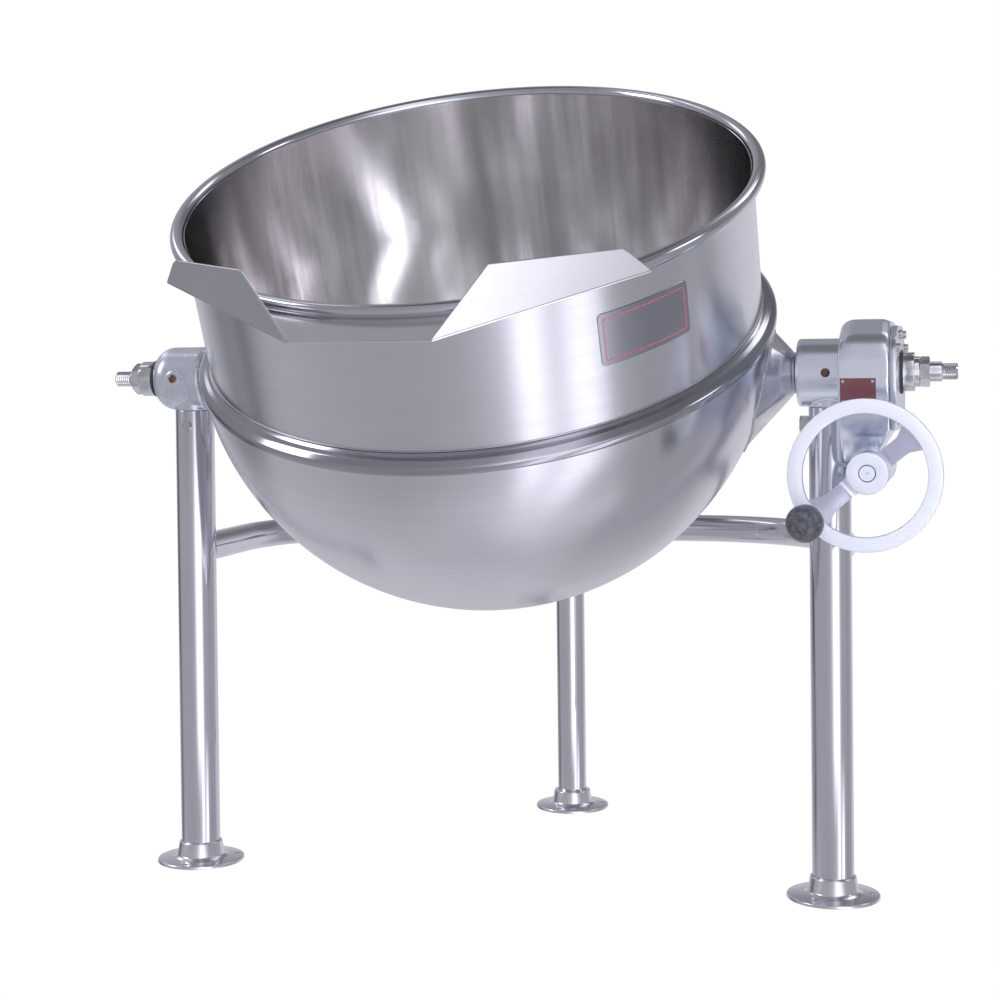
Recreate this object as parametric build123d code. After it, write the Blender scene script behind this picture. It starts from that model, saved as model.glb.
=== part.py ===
from build123d import *
from math import atan, ceil, cos, degrees, floor, pi, radians, sin, sqrt, tan
import os

# Steam jacketed tilting kettle on a tube stand, in millimetres.
# The stand frame has its origin on the floor under the middle of the trunnion line:
# +X to the gearbox, +Y to the back, +Z up. The kettle frame has its origin on the
# trunnion line, with its height along the bowl's own axis. save() shifts every piece so
# that the middle of the whole object's box is over the origin.

# Fits, all radial
RUNNING = 0.05
SLIP = 0.15
SEAT = 0.2
BORE_GAP = 0.6

# Trunnion line and resting tilt
AXIS_Z = 642.6
REST_TILT = 26.5

# Bowl and rim, in the kettle frame
BOWL_R = 344.5
SHEET = 2.5
SHELL_R = BOWL_R + SHEET
BOWL_H = 76.0
WALL_H = 180.0
RIM_H = BOWL_H + WALL_H
BEAD_R = 8.5
BEAD_LAP = 2.0
BEAD_PATH_R = SHELL_R + BEAD_R - BEAD_LAP

# Jacket and its closing ring
JACKET_GAP = 11.0
JACKET_WALL = 3.0
JACKET_IN_R = SHELL_R + JACKET_GAP
JACKET_R = JACKET_IN_R + JACKET_WALL
JACKET_DROP = 16.0
JACKET_TOP_H = BOWL_H - JACKET_DROP
RING_RISE = 22.0
RING_TOP_H = JACKET_TOP_H + RING_RISE
RING_BULGE = 3.0
RING_BULGE_R = JACKET_R + RING_BULGE
RING_LIP = 0.5

# Pour lip: places along a side are measured from its foot nearest the bowl's axis
LIP_X = -12.8
LIP_ANGLE = 39.0
LIP_GAP = 8.6
LIP_OFFSET = BEAD_PATH_R + BEAD_R + LIP_GAP
LIP_FRONT_U = -199.6
LIP_PEAK = (-125.4, RIM_H + 58.4)
LIP_REAR_TOP = (30.0, RIM_H + 30.0)
LIP_REAR_U = 60.0
LIP_CORNER_R = 25.0
PAN_DROP = 4.0
PAN_TOP_H = RIM_H - PAN_DROP
PAN_H = PAN_TOP_H - SHEET

# Bare badge
BADGE_FROM = 36.9
BADGE_TO = 57.3
BADGE_DROP = 44.0
BADGE_HEIGHT = 62.0
BADGE_HIGH = RIM_H - BADGE_DROP
BADGE_LOW = BADGE_HIGH - BADGE_HEIGHT
BADGE_T = 1.2

# Trunnion radii, and what turns or seats on them
TRUNNION_R = 22.0
JOURNAL_R = TRUNNION_R - 8.0
STEAM_BORE_R = JOURNAL_R - 4.0
BEARING_BORE_R = TRUNNION_R + 3.0
BARREL_R = BEARING_BORE_R + 16.5
PILOT_R = BEARING_BORE_R + 9.0
HUB_R = TRUNNION_R + 12.0
KEY_HALF = 4.0
KEY_SINK = 4.0
KEY_RISE = 3.5

# Gussets: folded cones at 45 degrees, from inside the jacket to the trunnion
GUSSET_REACH = 23.0
GUSSET_LENGTH = 66.0
GUSSET_LAP = 2.0
GUSSET_WALL = 3.0
GUSSET_TIP = (JACKET_R + GUSSET_REACH, TRUNNION_R + GUSSET_LAP)
GUSSET_BASE = (GUSSET_TIP[0] - GUSSET_LENGTH, GUSSET_TIP[1] + GUSSET_LENGTH)
SIPHON_R = 4.0
SIPHON_WALL = 1.0

# Places along the trunnion line, outwards from the gussets
BARREL_GAP = 4.0
BARREL_IN = GUSSET_TIP[0] + BARREL_GAP
LEFT_BARREL = (-BARREL_IN - 73.0, -BARREL_IN)
RIGHT_BARREL = (BARREL_IN, BARREL_IN + 56.0)
LEFT_LEG_X = -BARREL_IN - 23.2
RIGHT_LEG_X = BARREL_IN + 37.2
PLUG_X = BARREL_IN + 36.0
PLUG_R = 5.5
BOX_LENGTH = 59.0
BOX_BACK = 13.0
BOX_X = (RIGHT_BARREL[1], RIGHT_BARREL[1] + BOX_LENGTH)
BOX_INNER_X = BOX_X[0] + BOX_BACK
PILOT_X = BOX_X[0] + 8.0
COVER_T = 7.7
COVER_X = (BOX_X[1], BOX_X[1] + COVER_T)
HUB_X = (BOX_INNER_X + 5.0, BOX_INNER_X + 35.0)
SECTOR_X = (HUB_X[0] + 10.0, HUB_X[0] + 22.0)
WORM_X = (SECTOR_X[0] + SECTOR_X[1]) / 2
SHOULDER_GAP = 0.3
RIGHT_SHOULDER_X = COVER_X[1] + SHOULDER_GAP
LEFT_SHOULDER_X = LEFT_BARREL[0] - SHOULDER_GAP
RIGHT_JOURNAL_X = RIGHT_SHOULDER_X + 21.5
LEFT_JOURNAL_X = LEFT_SHOULDER_X - 20.7

# Tube stand
LEG_R = 25.4
LEG_WALL = 3.0
LEG_TOP_Z = AXIS_Z - BARREL_R - 1.1
REAR_LEG = (8.0, JACKET_R + 37.0)
REAR_LEG_R = 20.65
REAR_LEG_WALL = 2.5
FRAME_DROP = 227.6
FRAME_Z = AXIS_Z - FRAME_DROP
FRAME_R = 19.05
FRAME_WALL = 2.3
FRAME_BEND_R = 230.0
PLATE_T = 5.0
BOLT_HOLE_R = 4.5
BOLT_EDGE = 8.5
FOOT_HOLES = 3
FLANGE_R = 57.0
REAR_FLANGE_R = 53.0
# Collar walls at the foot and the top, and its height
COLLAR = (5.8, 2.6, 26.0)
REAR_COLLAR = (7.95, 5.55, 25.0)

# What holds the bearings on the front legs
SPIGOT_LENGTH = 60.0
LEG_SCREW_Z = LEG_TOP_Z - 19.0
LEG_SCREW_R = 3.0
TIE_BOLT_Z = LEG_TOP_Z - 21.0
TIE_BOLT_R = 6.0
TIE_BOLT_FLATS = 19.0

# Worm drive
MODULE = 3.0
FULL_TEETH = 68
WHEEL_R = MODULE * FULL_TEETH / 2
WORM_R = 14.0
CENTRES = WHEEL_R + WORM_R
LEAD = pi * MODULE
ADDENDUM = MODULE - 0.4
DEDENDUM = MODULE + 0.4
TOOTH_T = MODULE * 1.2
THREAD_T = MODULE
THREAD_HEIGHT = MODULE - 0.2
FLANK = 20.0
SECTOR_HALF = 51.0
SECTOR_MIDDLE = 45.0
WORM_Z = AXIS_Z - CENTRES
WORM_TURNS = 5
WORM_SHAFT_R = 9.0
CASE_BORE_R = WORM_R + THREAD_HEIGHT + 0.7
CASE_R = CASE_BORE_R + 6.5
CASE_Y = (-86.0, 64.0)
FRONT_BUSH_R = WORM_SHAFT_R + 4.0
BUSH_GAP = 0.5
WORM_CORE_Y = (CASE_Y[0] + 53.5, CASE_Y[1] - 24.5)
CAP_SINK = 4.0
CAP_FLANGE = 5.0

# Gearbox: heights are measured from the trunnion line
BOX_WALL = 6.0
TIP_GAP = 1.4
BOX_R = WHEEL_R + ADDENDUM + TIP_GAP + BOX_WALL
BOX_TOP = 63.4
BOX_SHOULDER = BOX_TOP - 25.4
BOX_FLAT = BOX_R - 57.0
BOX_CORNER_R = 40.0
BOX_EDGE_R = 14.0
COVER_EDGE_R = 7.0
COVER_LOW = 44.4 - BOX_R
LOWER_GAP = 1.5
LOWER_WALL = 3.5
SCREW_R = 3.0
SCREW_HEAD_R = 5.0
SCREW_HEAD = 5.0
BOSS_R = 7.0
COVER_SCREWS = ((BOX_R - 28.0, -BOX_R / 2), (BOX_R - 24.0, BOX_TOP - 29.4), (BOX_FLAT - 15.0, BOX_TOP - 11.4))
DATA_X = (BOX_X[0] + 3.0, BOX_X[0] + 44.0)
DATA_ANGLES = (3.1, 18.7)
DATA_T = 1.0
DATA_GLUE = 0.05
RIVET_R = 1.8

# Handwheel, depths are measured forward from the trunnion plane
WHEEL_HUB_R = WORM_SHAFT_R + 15.5
HUB_LENGTH = 34.0
WHEEL_HUB = (2.0 - CASE_Y[0], 2.0 - CASE_Y[0] + HUB_LENGTH)
WORM_SHAFT_Y = (-WHEEL_HUB[1], CASE_Y[1] - CAP_SINK - BUSH_GAP)
WHEEL_KEY_HALF = 2.5
RIM_OUT_R = 87.5
RIM_WIDTH = 17.0
RIM_R = (RIM_OUT_R - RIM_WIDTH, RIM_OUT_R)
DISH = 26.0
RIM_T = 14.0
RIM = (WHEEL_HUB[1] + DISH, WHEEL_HUB[1] + DISH + RIM_T)
SPOKE_ANGLES = (39.0, 219.0)
SPOKE_HALF = 9.0
KNOB_ANGLE = 219.0
KNOB_PATH_R = RIM_OUT_R - 3.5
KNOB_R = 21.75
STUD_R = 5.0
STUD_TAIL_R = STUD_R - 1.0
STUD_COLLAR = 3.0
KNOB_DEPTH = RIM[1] + STUD_COLLAR + 22.0
KNOB_BACK = KNOB_DEPTH - KNOB_R + 0.05
KNOB_FRONT = KNOB_DEPTH + KNOB_R - 1.75

# Pipe unions
SEAL_T = 2.5
LEFT_SEAL_T = 3.2
RIGHT_SEAL = (RIGHT_SHOULDER_X + SEAL_T, TRUNNION_R + 4.5)
LEFT_SEAL = (LEFT_SHOULDER_X - LEFT_SEAL_T, TRUNNION_R + 2.5)
PASSAGE_R = 8.0
NIPPLE_BORE_R = 7.0
NIPPLE_STEP = 1.0
SOCKET_R = 12.0
RIGHT_FLATS = 32.0
LEFT_FLATS = 36.0
# Steps: (end of each step along X, radius, kind)
RIGHT_STEPS = ((RIGHT_JOURNAL_X - 5.0, JOURNAL_R + 9.5, "round"), (RIGHT_JOURNAL_X + 1.0, JOURNAL_R + 3.0, 3.0),
               (RIGHT_JOURNAL_X + 12.8, RIGHT_FLATS / 2, "hex"), (RIGHT_JOURNAL_X + 26.9, SOCKET_R, "round"))
LEFT_STEPS = ((LEFT_JOURNAL_X - 0.8, JOURNAL_R + 9.0, "round"), (LEFT_JOURNAL_X - 12.5, LEFT_FLATS / 2, "hex"),
              (LEFT_JOURNAL_X - 17.0, SOCKET_R, "round"))
# Nipples: (inner end, outer end, radius)
RIGHT_NIPPLE = (RIGHT_STEPS[-1][0] - 11.4, RIGHT_STEPS[-1][0] + 18.6, 10.2)
LEFT_NIPPLE = (LEFT_STEPS[-1][0] + 9.0, LEFT_STEPS[-1][0] - 22.7, 10.1)

KETTLE = Pos(0, 0, AXIS_Z) * Rot(REST_TILT, 0, 0)
WHEEL_CENTRE = (WORM_X, 0, WORM_Z)

LIP_REACH = LIP_OFFSET + SHEET / 2
LIP_FRONT_Y = -LIP_REACH * cos(radians(LIP_ANGLE)) + LIP_FRONT_U * sin(radians(LIP_ANGLE))
FRONT_Y = LIP_FRONT_Y * cos(radians(REST_TILT)) - PAN_TOP_H * sin(radians(REST_TILT))
MID_X = (RIGHT_NIPPLE[1] + LEFT_NIPPLE[1]) / 2
MID_Y = (FRONT_Y + REAR_LEG[1] + REAR_FLANGE_R) / 2

PIECES = {}


def save(name, *shapes):
    """Write one node from one solid, or from several matching ones."""
    solids = [s for shape in shapes for s in shape.solids()]
    if len(shapes) == 1 and len(solids) != 1:
        raise ValueError(f"{name} has {len(solids)} solids")
    PIECES[name] = solids
    whole = solids[0] if len(solids) == 1 else Compound(solids)
    export_step(Pos(-MID_X, -MID_Y, 0) * whole, f"parts/{name}.step")


def along(start, direction):
    """Plane at a point whose normal is a direction."""
    return Plane(origin=start, z_dir=direction)


def rod(start, end, radius):
    """Round bar between two points."""
    span = Vector(*end) - Vector(*start)
    bar = Cylinder(radius, span.length, align=(Align.CENTER, Align.CENTER, Align.MIN))
    return along(start, span) * bar


def x_rod(x_from, x_to, radius, y=0.0, z=AXIS_Z):
    """Round bar along X."""
    return rod((x_from, y, z), (x_to, y, z), radius)


def ring(x_from, x_to, outer, inner, z=AXIS_Z):
    """Flat or long ring along X on the trunnion line."""
    return x_rod(x_from, x_to, outer, z=z) - x_rod(x_from, x_to, inner, z=z)


def block(x, y, z):
    """Box from three (low, high) pairs."""
    sizes = [high - low for low, high in (x, y, z)]
    middle = [(high + low) / 2 for low, high in (x, y, z)]
    return Pos(*middle) * Box(*sizes)


def outline(start, *steps):
    """Closed face. A point is a straight side; a pair is an arc through the first."""
    edges = []
    here = start
    for step in steps:
        if isinstance(step[0], tuple):
            edges.append(ThreePointArc(here, step[0], step[1]))
            here = step[1]
        else:
            edges.append(Line(here, step))
            here = step
    if here != start:
        edges.append(Line(here, start))
    return make_face(edges)


def turned(face, start, direction):
    """Turn a (radius, distance) face about a line."""
    return along(start, direction) * revolve(Plane.XZ * face, Axis.Z, 360)


def hex_bar(start, end, flats):
    """Six-sided bar between two points."""
    span = Vector(*end) - Vector(*start)
    return along(start, span) * extrude(RegularPolygon(flats / sqrt(3), 6), span.length)


def yz(x):
    """Sketch plane across the trunnion line: local x is +Y, local y is +Z."""
    return Plane(origin=(x, 0, AXIS_Z), x_dir=(0, 1, 0), z_dir=(1, 0, 0))


# ---------------------------------------------------------------- kettle, own frame

def sphere(radius):
    """Ball on the bowl's centre."""
    return Pos(0, 0, BOWL_H) * Sphere(radius)


def bowl_solid(radius, top):
    """Round-bottomed solid of the bowl's shape."""
    centre = BOWL_H
    side = (radius, centre)
    low = (0, centre - radius)
    middle = (radius * sin(radians(45)), centre - radius * cos(radians(45)))
    return turned(outline((0, top), (radius, top), side, (middle, low)), (0, 0, 0), (0, 0, 1))


def kettle_shell():
    """Bowl and straight wall, ending inside the rim bead."""
    return bowl_solid(SHELL_R, RIM_H) - bowl_solid(BOWL_R, RIM_H)


def full_bead():
    """Rim torus before it is cut for the wall."""
    return Pos(0, 0, RIM_H) * Torus(BEAD_PATH_R, BEAD_R)


def rim_bead():
    """Rolled rim, sitting over the wall's end."""
    wall = Pos(0, 0, RIM_H) * Cylinder(SHELL_R, 2 * BEAD_R, align=(Align.CENTER, Align.CENTER, Align.MAX))
    return full_bead() - wall


def steam_jacket():
    """Outer hemisphere with a port at each trunnion."""
    inner_r = JACKET_IN_R
    rise = JACKET_TOP_H - BOWL_H

    def on_circle(radius, angle):
        return (radius * cos(radians(angle)), BOWL_H + radius * sin(radians(angle)))

    outer_top = (sqrt(JACKET_R ** 2 - rise ** 2), JACKET_TOP_H)
    inner_top = (sqrt(inner_r ** 2 - rise ** 2), JACKET_TOP_H)
    face = outline(
        (0, BOWL_H - inner_r),
        (on_circle(inner_r, -45), inner_top),
        outer_top,
        (on_circle(JACKET_R, -45), (0, BOWL_H - JACKET_R)),
    )
    shell = turned(face, (0, 0, 0), (0, 0, 1))
    return shell - x_rod(-JACKET_R, JACKET_R, STEAM_BORE_R, z=0)


def ring_face():
    """Section of the closing ring between jacket and wall."""
    inner_r = JACKET_IN_R
    return outline(
        (inner_r, JACKET_TOP_H),
        (JACKET_R + RING_LIP, JACKET_TOP_H),
        ((RING_BULGE_R, JACKET_TOP_H + 7), (RING_BULGE_R - 5, RING_TOP_H - 7)),
        (SHELL_R, RING_TOP_H),
        (SHELL_R, RING_TOP_H - 4),
        (inner_r - 2, JACKET_TOP_H + 12),
        (inner_r, JACKET_TOP_H + 9),
    )


def jacket_ring():
    """Bulged ring that closes the top of the jacket."""
    return turned(ring_face(), (0, 0, 0), (0, 0, 1))


def envelope():
    """Everything inside the kettle's outer surface, for coping pieces to it."""
    ring_core = turned(
        outline((0, JACKET_TOP_H), (JACKET_R + RING_LIP, JACKET_TOP_H),
                ((RING_BULGE_R, JACKET_TOP_H + 7), (RING_BULGE_R - 5, RING_TOP_H - 7)),
                (SHELL_R, RING_TOP_H), (0, RING_TOP_H)),
        (0, 0, 0), (0, 0, 1))
    reach = JACKET_R + 40
    ball = sphere(JACKET_R) - block((-reach, reach), (-reach, reach), (JACKET_TOP_H, BOWL_H + reach))
    wall = Cylinder(SHELL_R, RIM_H - JACKET_TOP_H, align=(Align.CENTER, Align.CENTER, Align.MIN))
    return ball + ring_core + Pos(0, 0, JACKET_TOP_H) * wall


def gusset(side, core):
    """Eight-sided folded cone between the jacket and a trunnion."""
    def octagon(x, flat_r):
        face = RegularPolygon(flat_r / cos(radians(22.5)), 8, rotation=22.5)
        return Plane(origin=(side * x, 0, 0), x_dir=(0, 1, 0), z_dir=(side, 0, 0)) * face

    thin = GUSSET_WALL * sqrt(2)
    outer = loft([octagon(*GUSSET_BASE), octagon(*GUSSET_TIP)])
    inner = loft([octagon(GUSSET_BASE[0], GUSSET_BASE[1] - thin), octagon(GUSSET_TIP[0] - 4, GUSSET_TIP[1])])
    shaft = x_rod(side * (GUSSET_BASE[0] - 10), side * (GUSSET_TIP[0] + 10), TRUNNION_R, z=0)
    return outer - inner - shaft - core


def key_space(grow=0.0):
    """Trunnion key, in the kettle frame, grown a little for its keyways."""
    return block((HUB_X[0] + 1, HUB_X[1] - 1), (-KEY_HALF - grow, KEY_HALF + grow),
                 (TRUNNION_R - KEY_SINK - grow, TRUNNION_R + KEY_RISE + grow))


def trunnion(side, shoulder, journal):
    """Hollow trunnion coped to the jacket, with a stepped end for its union."""
    start = JACKET_R - 31
    bar = x_rod(side * start, shoulder, TRUNNION_R, z=0) + x_rod(shoulder, journal, JOURNAL_R, z=0)
    return bar - sphere(JACKET_R) - x_rod(side * (start - 10), journal, STEAM_BORE_R, z=0)


def siphon():
    """Condensate tube from the left trunnion down between bowl and jacket."""
    radius = (SHELL_R + JACKET_IN_R) / 2
    start = (-sqrt(radius ** 2 - BOWL_H ** 2), 0, 0)
    bottom = (-radius * sin(radians(3)), 0, BOWL_H - radius * cos(radians(3)))
    middle = (-radius * cos(radians(50)), 0, BOWL_H - radius * sin(radians(50)))
    path = ThreePointArc(start, middle, bottom)
    collar = x_rod(-JACKET_R - 12, -JACKET_R - 8, STEAM_BORE_R, z=0)

    def run(tube_r):
        swept = sweep(along(path @ 0, path % 0) * Circle(tube_r), path=path)
        return swept + x_rod(-JACKET_R - 17, start[0], tube_r, z=0)

    bore_r = SIPHON_R - SIPHON_WALL
    return run(SIPHON_R) + collar - run(bore_r) - x_rod(-JACKET_R - 18, -JACKET_R + 1, bore_r, z=0)


def lip_wing(side):
    """One sloping side of the pour lip."""
    turn = radians(LIP_ANGLE)
    foot = (side * LIP_OFFSET * sin(turn), -LIP_OFFSET * cos(turn), 0)
    plane = Plane(origin=foot, x_dir=(side * cos(turn), sin(turn), 0),
                  z_dir=(side * sin(turn), -cos(turn), 0))
    # Local y points down for one side and up for the other.
    up = 1 if plane.y_dir.Z > 0 else -1
    corners = [(LIP_FRONT_U, PAN_TOP_H), LIP_PEAK, LIP_REAR_TOP, (LIP_REAR_U, PAN_TOP_H)]
    face = make_face(Polyline(*[(u, up * h) for u, h in corners], close=True).edges())
    top_corner = face.vertices().sort_by_distance((LIP_REAR_TOP[0], up * LIP_REAR_TOP[1], 0))[0]
    face = fillet(top_corner, LIP_CORNER_R)
    sheet = plane * extrude(face, SHEET / 2, both=True)
    return Pos(LIP_X, 0, 0) * sheet - full_bead()


def lip_pan():
    """Floor of the pour lip, tucked under the rim bead."""
    turn = radians(LIP_ANGLE)

    def point(side, u):
        across = LIP_REACH * sin(turn) + u * cos(turn)
        back = -LIP_REACH * cos(turn) + u * sin(turn)
        return (LIP_X + side * across, back)

    corners = [point(-1, LIP_FRONT_U), point(1, LIP_FRONT_U), point(1, LIP_REAR_U),
               (LIP_X, 0), point(-1, LIP_REAR_U)]
    face = make_face(Polyline(*corners, close=True).edges())
    plate = Pos(0, 0, PAN_H) * extrude(face, SHEET)
    hole = Pos(0, 0, PAN_H - 1) * Cylinder(BEAD_PATH_R, 10, align=(Align.CENTER, Align.CENTER, Align.MIN))
    return plate - hole - full_bead()


def badge():
    """Bare curved plate on the wall."""
    middle = radians((BADGE_FROM + BADGE_TO) / 2)
    half = radians((BADGE_TO - BADGE_FROM) / 2)
    width = 2 * SHELL_R * sin(half)
    height = BADGE_HIGH - BADGE_LOW
    plane = Plane(origin=(0, 0, (BADGE_HIGH + BADGE_LOW) / 2), x_dir=(cos(middle), sin(middle), 0),
                  z_dir=(sin(middle), -cos(middle), 0))
    stamp = plane * extrude(RectangleRounded(width, height, 5), SHELL_R + 20)
    skin = Pos(0, 0, BADGE_LOW - 1) * (
        Cylinder(SHELL_R + BADGE_T, height + 2, align=(Align.CENTER, Align.CENTER, Align.MIN))
        - Cylinder(SHELL_R, height + 2, align=(Align.CENTER, Align.CENTER, Align.MIN)))
    return skin & stamp


# ---------------------------------------------------------------- worm drive

def sector_teeth():
    """Slanted flat-sided teeth, with a space straight down when the kettle rests."""
    slope = LEAD / (2 * pi * WORM_R)
    step = 360 / FULL_TEETH
    middle = REST_TILT - SECTOR_MIDDLE
    lean = tan(radians(FLANK))
    tip_t = TOOTH_T - 2 * ADDENDUM * lean
    foot_t = TOOTH_T + 2 * (DEDENDUM + 1) * lean
    mid_x = sum(SECTOR_X) / 2
    reach = 8.0
    section = Polyline(
        (-foot_t / 2, -WHEEL_R + DEDENDUM + 1), (-tip_t / 2, -WHEEL_R - ADDENDUM),
        (tip_t / 2, -WHEEL_R - ADDENDUM), (foot_t / 2, -WHEEL_R + DEDENDUM + 1), close=True)
    start = Plane(origin=(mid_x - reach, -slope * reach, 0), x_dir=(0, 1, 0), z_dir=(1, 0, 0))
    face = start * make_face(section.edges())
    prism = extrude(face, 2 * reach * sqrt(1 + slope ** 2), dir=(1, slope, 0))
    tooth = prism & block(SECTOR_X, (-20, 20), (-WHEEL_R - 10, -WHEEL_R + 10))
    first = ceil((middle - SECTOR_HALF + 1.5) / step - 0.5)
    last = floor((middle + SECTOR_HALF - 1.5) / step - 0.5)
    return [Pos(0, 0, AXIS_Z) * Rot((k + 0.5) * step, 0, 0) * tooth for k in range(first, last + 1)]


def worm_wheel_sector():
    """Toothed part of a worm wheel on its keyed hub."""
    middle = REST_TILT - SECTOR_MIDDLE
    root = WHEEL_R - DEDENDUM

    def at(angle, radius):
        return (radius * sin(radians(angle)), -radius * cos(radians(angle)))

    low = middle - SECTOR_HALF
    high = middle + SECTOR_HALF
    face = outline((0, 0), at(low, root), (at(middle, root), at(high, root)))
    plate = yz(SECTOR_X[0]) * extrude(face, SECTOR_X[1] - SECTOR_X[0])
    body = plate + x_rod(*HUB_X, HUB_R)
    for tooth in sector_teeth():
        body = body + tooth
    return body - x_rod(*HUB_X, TRUNNION_R) - KETTLE * key_space(0.05)


def worm_shaft():
    """Shaft with a right-hand thread whose crest is on top, under the wheel's space."""
    root = WORM_R - DEDENDUM
    lean = tan(radians(FLANK))
    crest_t = THREAD_T - 2 * THREAD_HEIGHT * lean
    base_t = THREAD_T + 2 * (DEDENDUM + 0.3) * lean
    length = WORM_TURNS * LEAD
    section = make_face(Polyline(
        (root - 0.3, -base_t / 2), (WORM_R + THREAD_HEIGHT, -crest_t / 2),
        (WORM_R + THREAD_HEIGHT, crest_t / 2), (root - 0.3, base_t / 2), close=True).edges())
    helix = Helix(LEAD, length, WORM_R)
    thread = sweep(Plane.XZ * section, path=helix, is_frenet=True)
    start = Plane(origin=(WORM_X, -length / 2, WORM_Z), x_dir=(0, 0, -1), z_dir=(0, 1, 0))
    core = y_rod(*WORM_CORE_Y, root)
    shaft = y_rod(*WORM_SHAFT_Y, WORM_SHAFT_R)
    front = WORM_SHAFT_Y[0]
    drill = turned(outline((0, 3), (2.2, 0), (0, 0)), (WORM_X, front, WORM_Z), (0, 1, 0))
    return start * thread + core + shaft - drill - wheel_key(0.03)


def y_rod(y_from, y_to, radius, x=WORM_X, z=WORM_Z):
    """Round bar along Y, on the worm line unless told otherwise."""
    return rod((x, y_from, z), (x, y_to, z), radius)


def wheel_key(grow=0.0):
    """Handwheel key, grown a little for its keyways."""
    half = WHEEL_KEY_HALF + grow
    middle = WORM_Z + WORM_SHAFT_R
    return block((WORM_X - half, WORM_X + half), (8 - WHEEL_HUB[1] - grow, -4 - WHEEL_HUB[0] + grow),
                 (middle - half, middle + half))


def handwheel():
    """Dished two-spoke wheel with a flat bright rim and hub."""
    forward = (0, -1, 0)
    hub = turned(outline((0, WHEEL_HUB[0]), (WHEEL_HUB_R - 1, WHEEL_HUB[0]), (WHEEL_HUB_R, WHEEL_HUB[0] + 1),
                         (WHEEL_HUB_R, WHEEL_HUB[1] - 1), (WHEEL_HUB_R - 1, WHEEL_HUB[1]), (0, WHEEL_HUB[1])),
                 WHEEL_CENTRE, forward)
    low, high = RIM_R
    back, front = RIM
    rim_face = outline(
        (low, back + 5), ((low + 1.5, back + 1.5), (low + 5, back)), (high - 5, back),
        ((high - 1.5, back + 1.5), (high, back + 5)), (high, front - 1.2), (high - 1.2, front),
        (low + 1.2, front), (low, front - 1.2))
    wheel = hub + turned(rim_face, WHEEL_CENTRE, forward)
    hub_back, hub_front = WHEEL_HUB
    inside = WORM_SHAFT_R - 1
    end = high - 3.5
    side = make_face(Polyline(
        (inside, hub_back + 4), (WHEEL_HUB_R + 3.5, hub_back + 5), (low - 10.5, back - 22), (low + 5.5, back + 0.5),
        (end, back + 2), (end, front - 3), (low - 1.5, front - 1.5), (low - 20.5, back - 8),
        (WHEEL_HUB_R + 1.5, hub_front - 2), (inside, hub_front - 2), close=True).edges())
    half = SPOKE_HALF
    plan = make_face(Polyline(
        (inside - 2, -half), (low - 12.5, -half), (low + 3.5, -half - 2.5), (end, -half - 3), (end, half + 3),
        (low + 3.5, half + 2.5), (low - 12.5, half), (inside - 2, half), close=True).edges())
    for angle in SPOKE_ANGLES:
        across = Vector(cos(radians(angle)), 0, sin(radians(angle)))
        edge_on = Plane(origin=WHEEL_CENTRE, x_dir=across, z_dir=across.cross(Vector(*forward)))
        face_on = Plane(origin=WHEEL_CENTRE, x_dir=across, z_dir=forward)
        wheel = wheel + (edge_on * extrude(side, 2 * half + 2, both=True) & face_on * extrude(plan, front + 18))
    wheel = wheel + on_rim(back + 2, front, STUD_R + 4)
    wheel = wheel - on_rim(back, front, STUD_TAIL_R + SLIP)
    wheel = wheel - y_rod(-hub_front - 8, -hub_back + 8, WORM_SHAFT_R + 0.02) - wheel_key(0.03)
    return wheel - set_screw_bar(LEG_SCREW_R + RUNNING, WHEEL_HUB_R + 5.5)


def on_rim(depth_from, depth_to, radius):
    """Round bar on the knob's line, depths forward."""
    x = WORM_X + KNOB_PATH_R * cos(radians(KNOB_ANGLE))
    z = WORM_Z + KNOB_PATH_R * sin(radians(KNOB_ANGLE))
    return rod((x, -depth_from, z), (x, -depth_to, z), radius)


def set_screw_bar(radius, end_r):
    """Radial bar in the hub, from the shaft down to a distance from its line."""
    y = -sum(WHEEL_HUB) / 2
    return rod((WORM_X, y, WORM_Z - WORM_SHAFT_R), (WORM_X, y, WORM_Z - end_r), radius)


# ---------------------------------------------------------------- gearbox

def box_face(inset=0.0):
    """Side view of the gearbox: a half disc under a low rounded top."""
    reach = BOX_R - inset
    top = BOX_TOP - inset
    shoulder = BOX_SHOULDER - inset
    roof = FilletPolyline((-reach, 0), (-reach, shoulder), (-BOX_FLAT, top), (BOX_FLAT, top), (reach, shoulder),
                          (reach, 0), radius=BOX_CORNER_R)
    floor_arc = ThreePointArc((reach, 0), (0, -reach), (-reach, 0))
    return make_face(roof.edges() + floor_arc.edges())


def front_view(*points):
    """Face in the X-Z plane, heights measured from the trunnion line."""
    return Pos(0, 2 * BOX_R, AXIS_Z) * (Plane.XZ * make_face(Polyline(*points, close=True).edges()))


def box_solid():
    """Outside of the casting before it is hollowed."""
    left, right = BOX_X
    lower = SECTOR_X[1] + LOWER_GAP + LOWER_WALL
    side = yz(left) * extrude(box_face(), right - left)
    sight = outline((left, BOX_TOP - BOX_EDGE_R),
                    ((left + BOX_EDGE_R * 0.2929, BOX_TOP - BOX_EDGE_R * 0.2929), (left + BOX_EDGE_R, BOX_TOP)),
                    (right, BOX_TOP), (right, COVER_LOW), (lower, COVER_LOW - 24), (lower, -BOX_R - 8), (left, -BOX_R - 8))
    front = Pos(0, 2 * BOX_R, AXIS_Z) * (Plane.XZ * sight)
    case = y_rod(*CASE_Y, CASE_R)
    return (side & extrude(front, 4 * BOX_R)) + case


def screw_spots():
    """Centres of the cover screws, heights from the trunnion line."""
    return [(sign * y, z) for y, z in COVER_SCREWS for sign in (-1, 1)]


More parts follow.
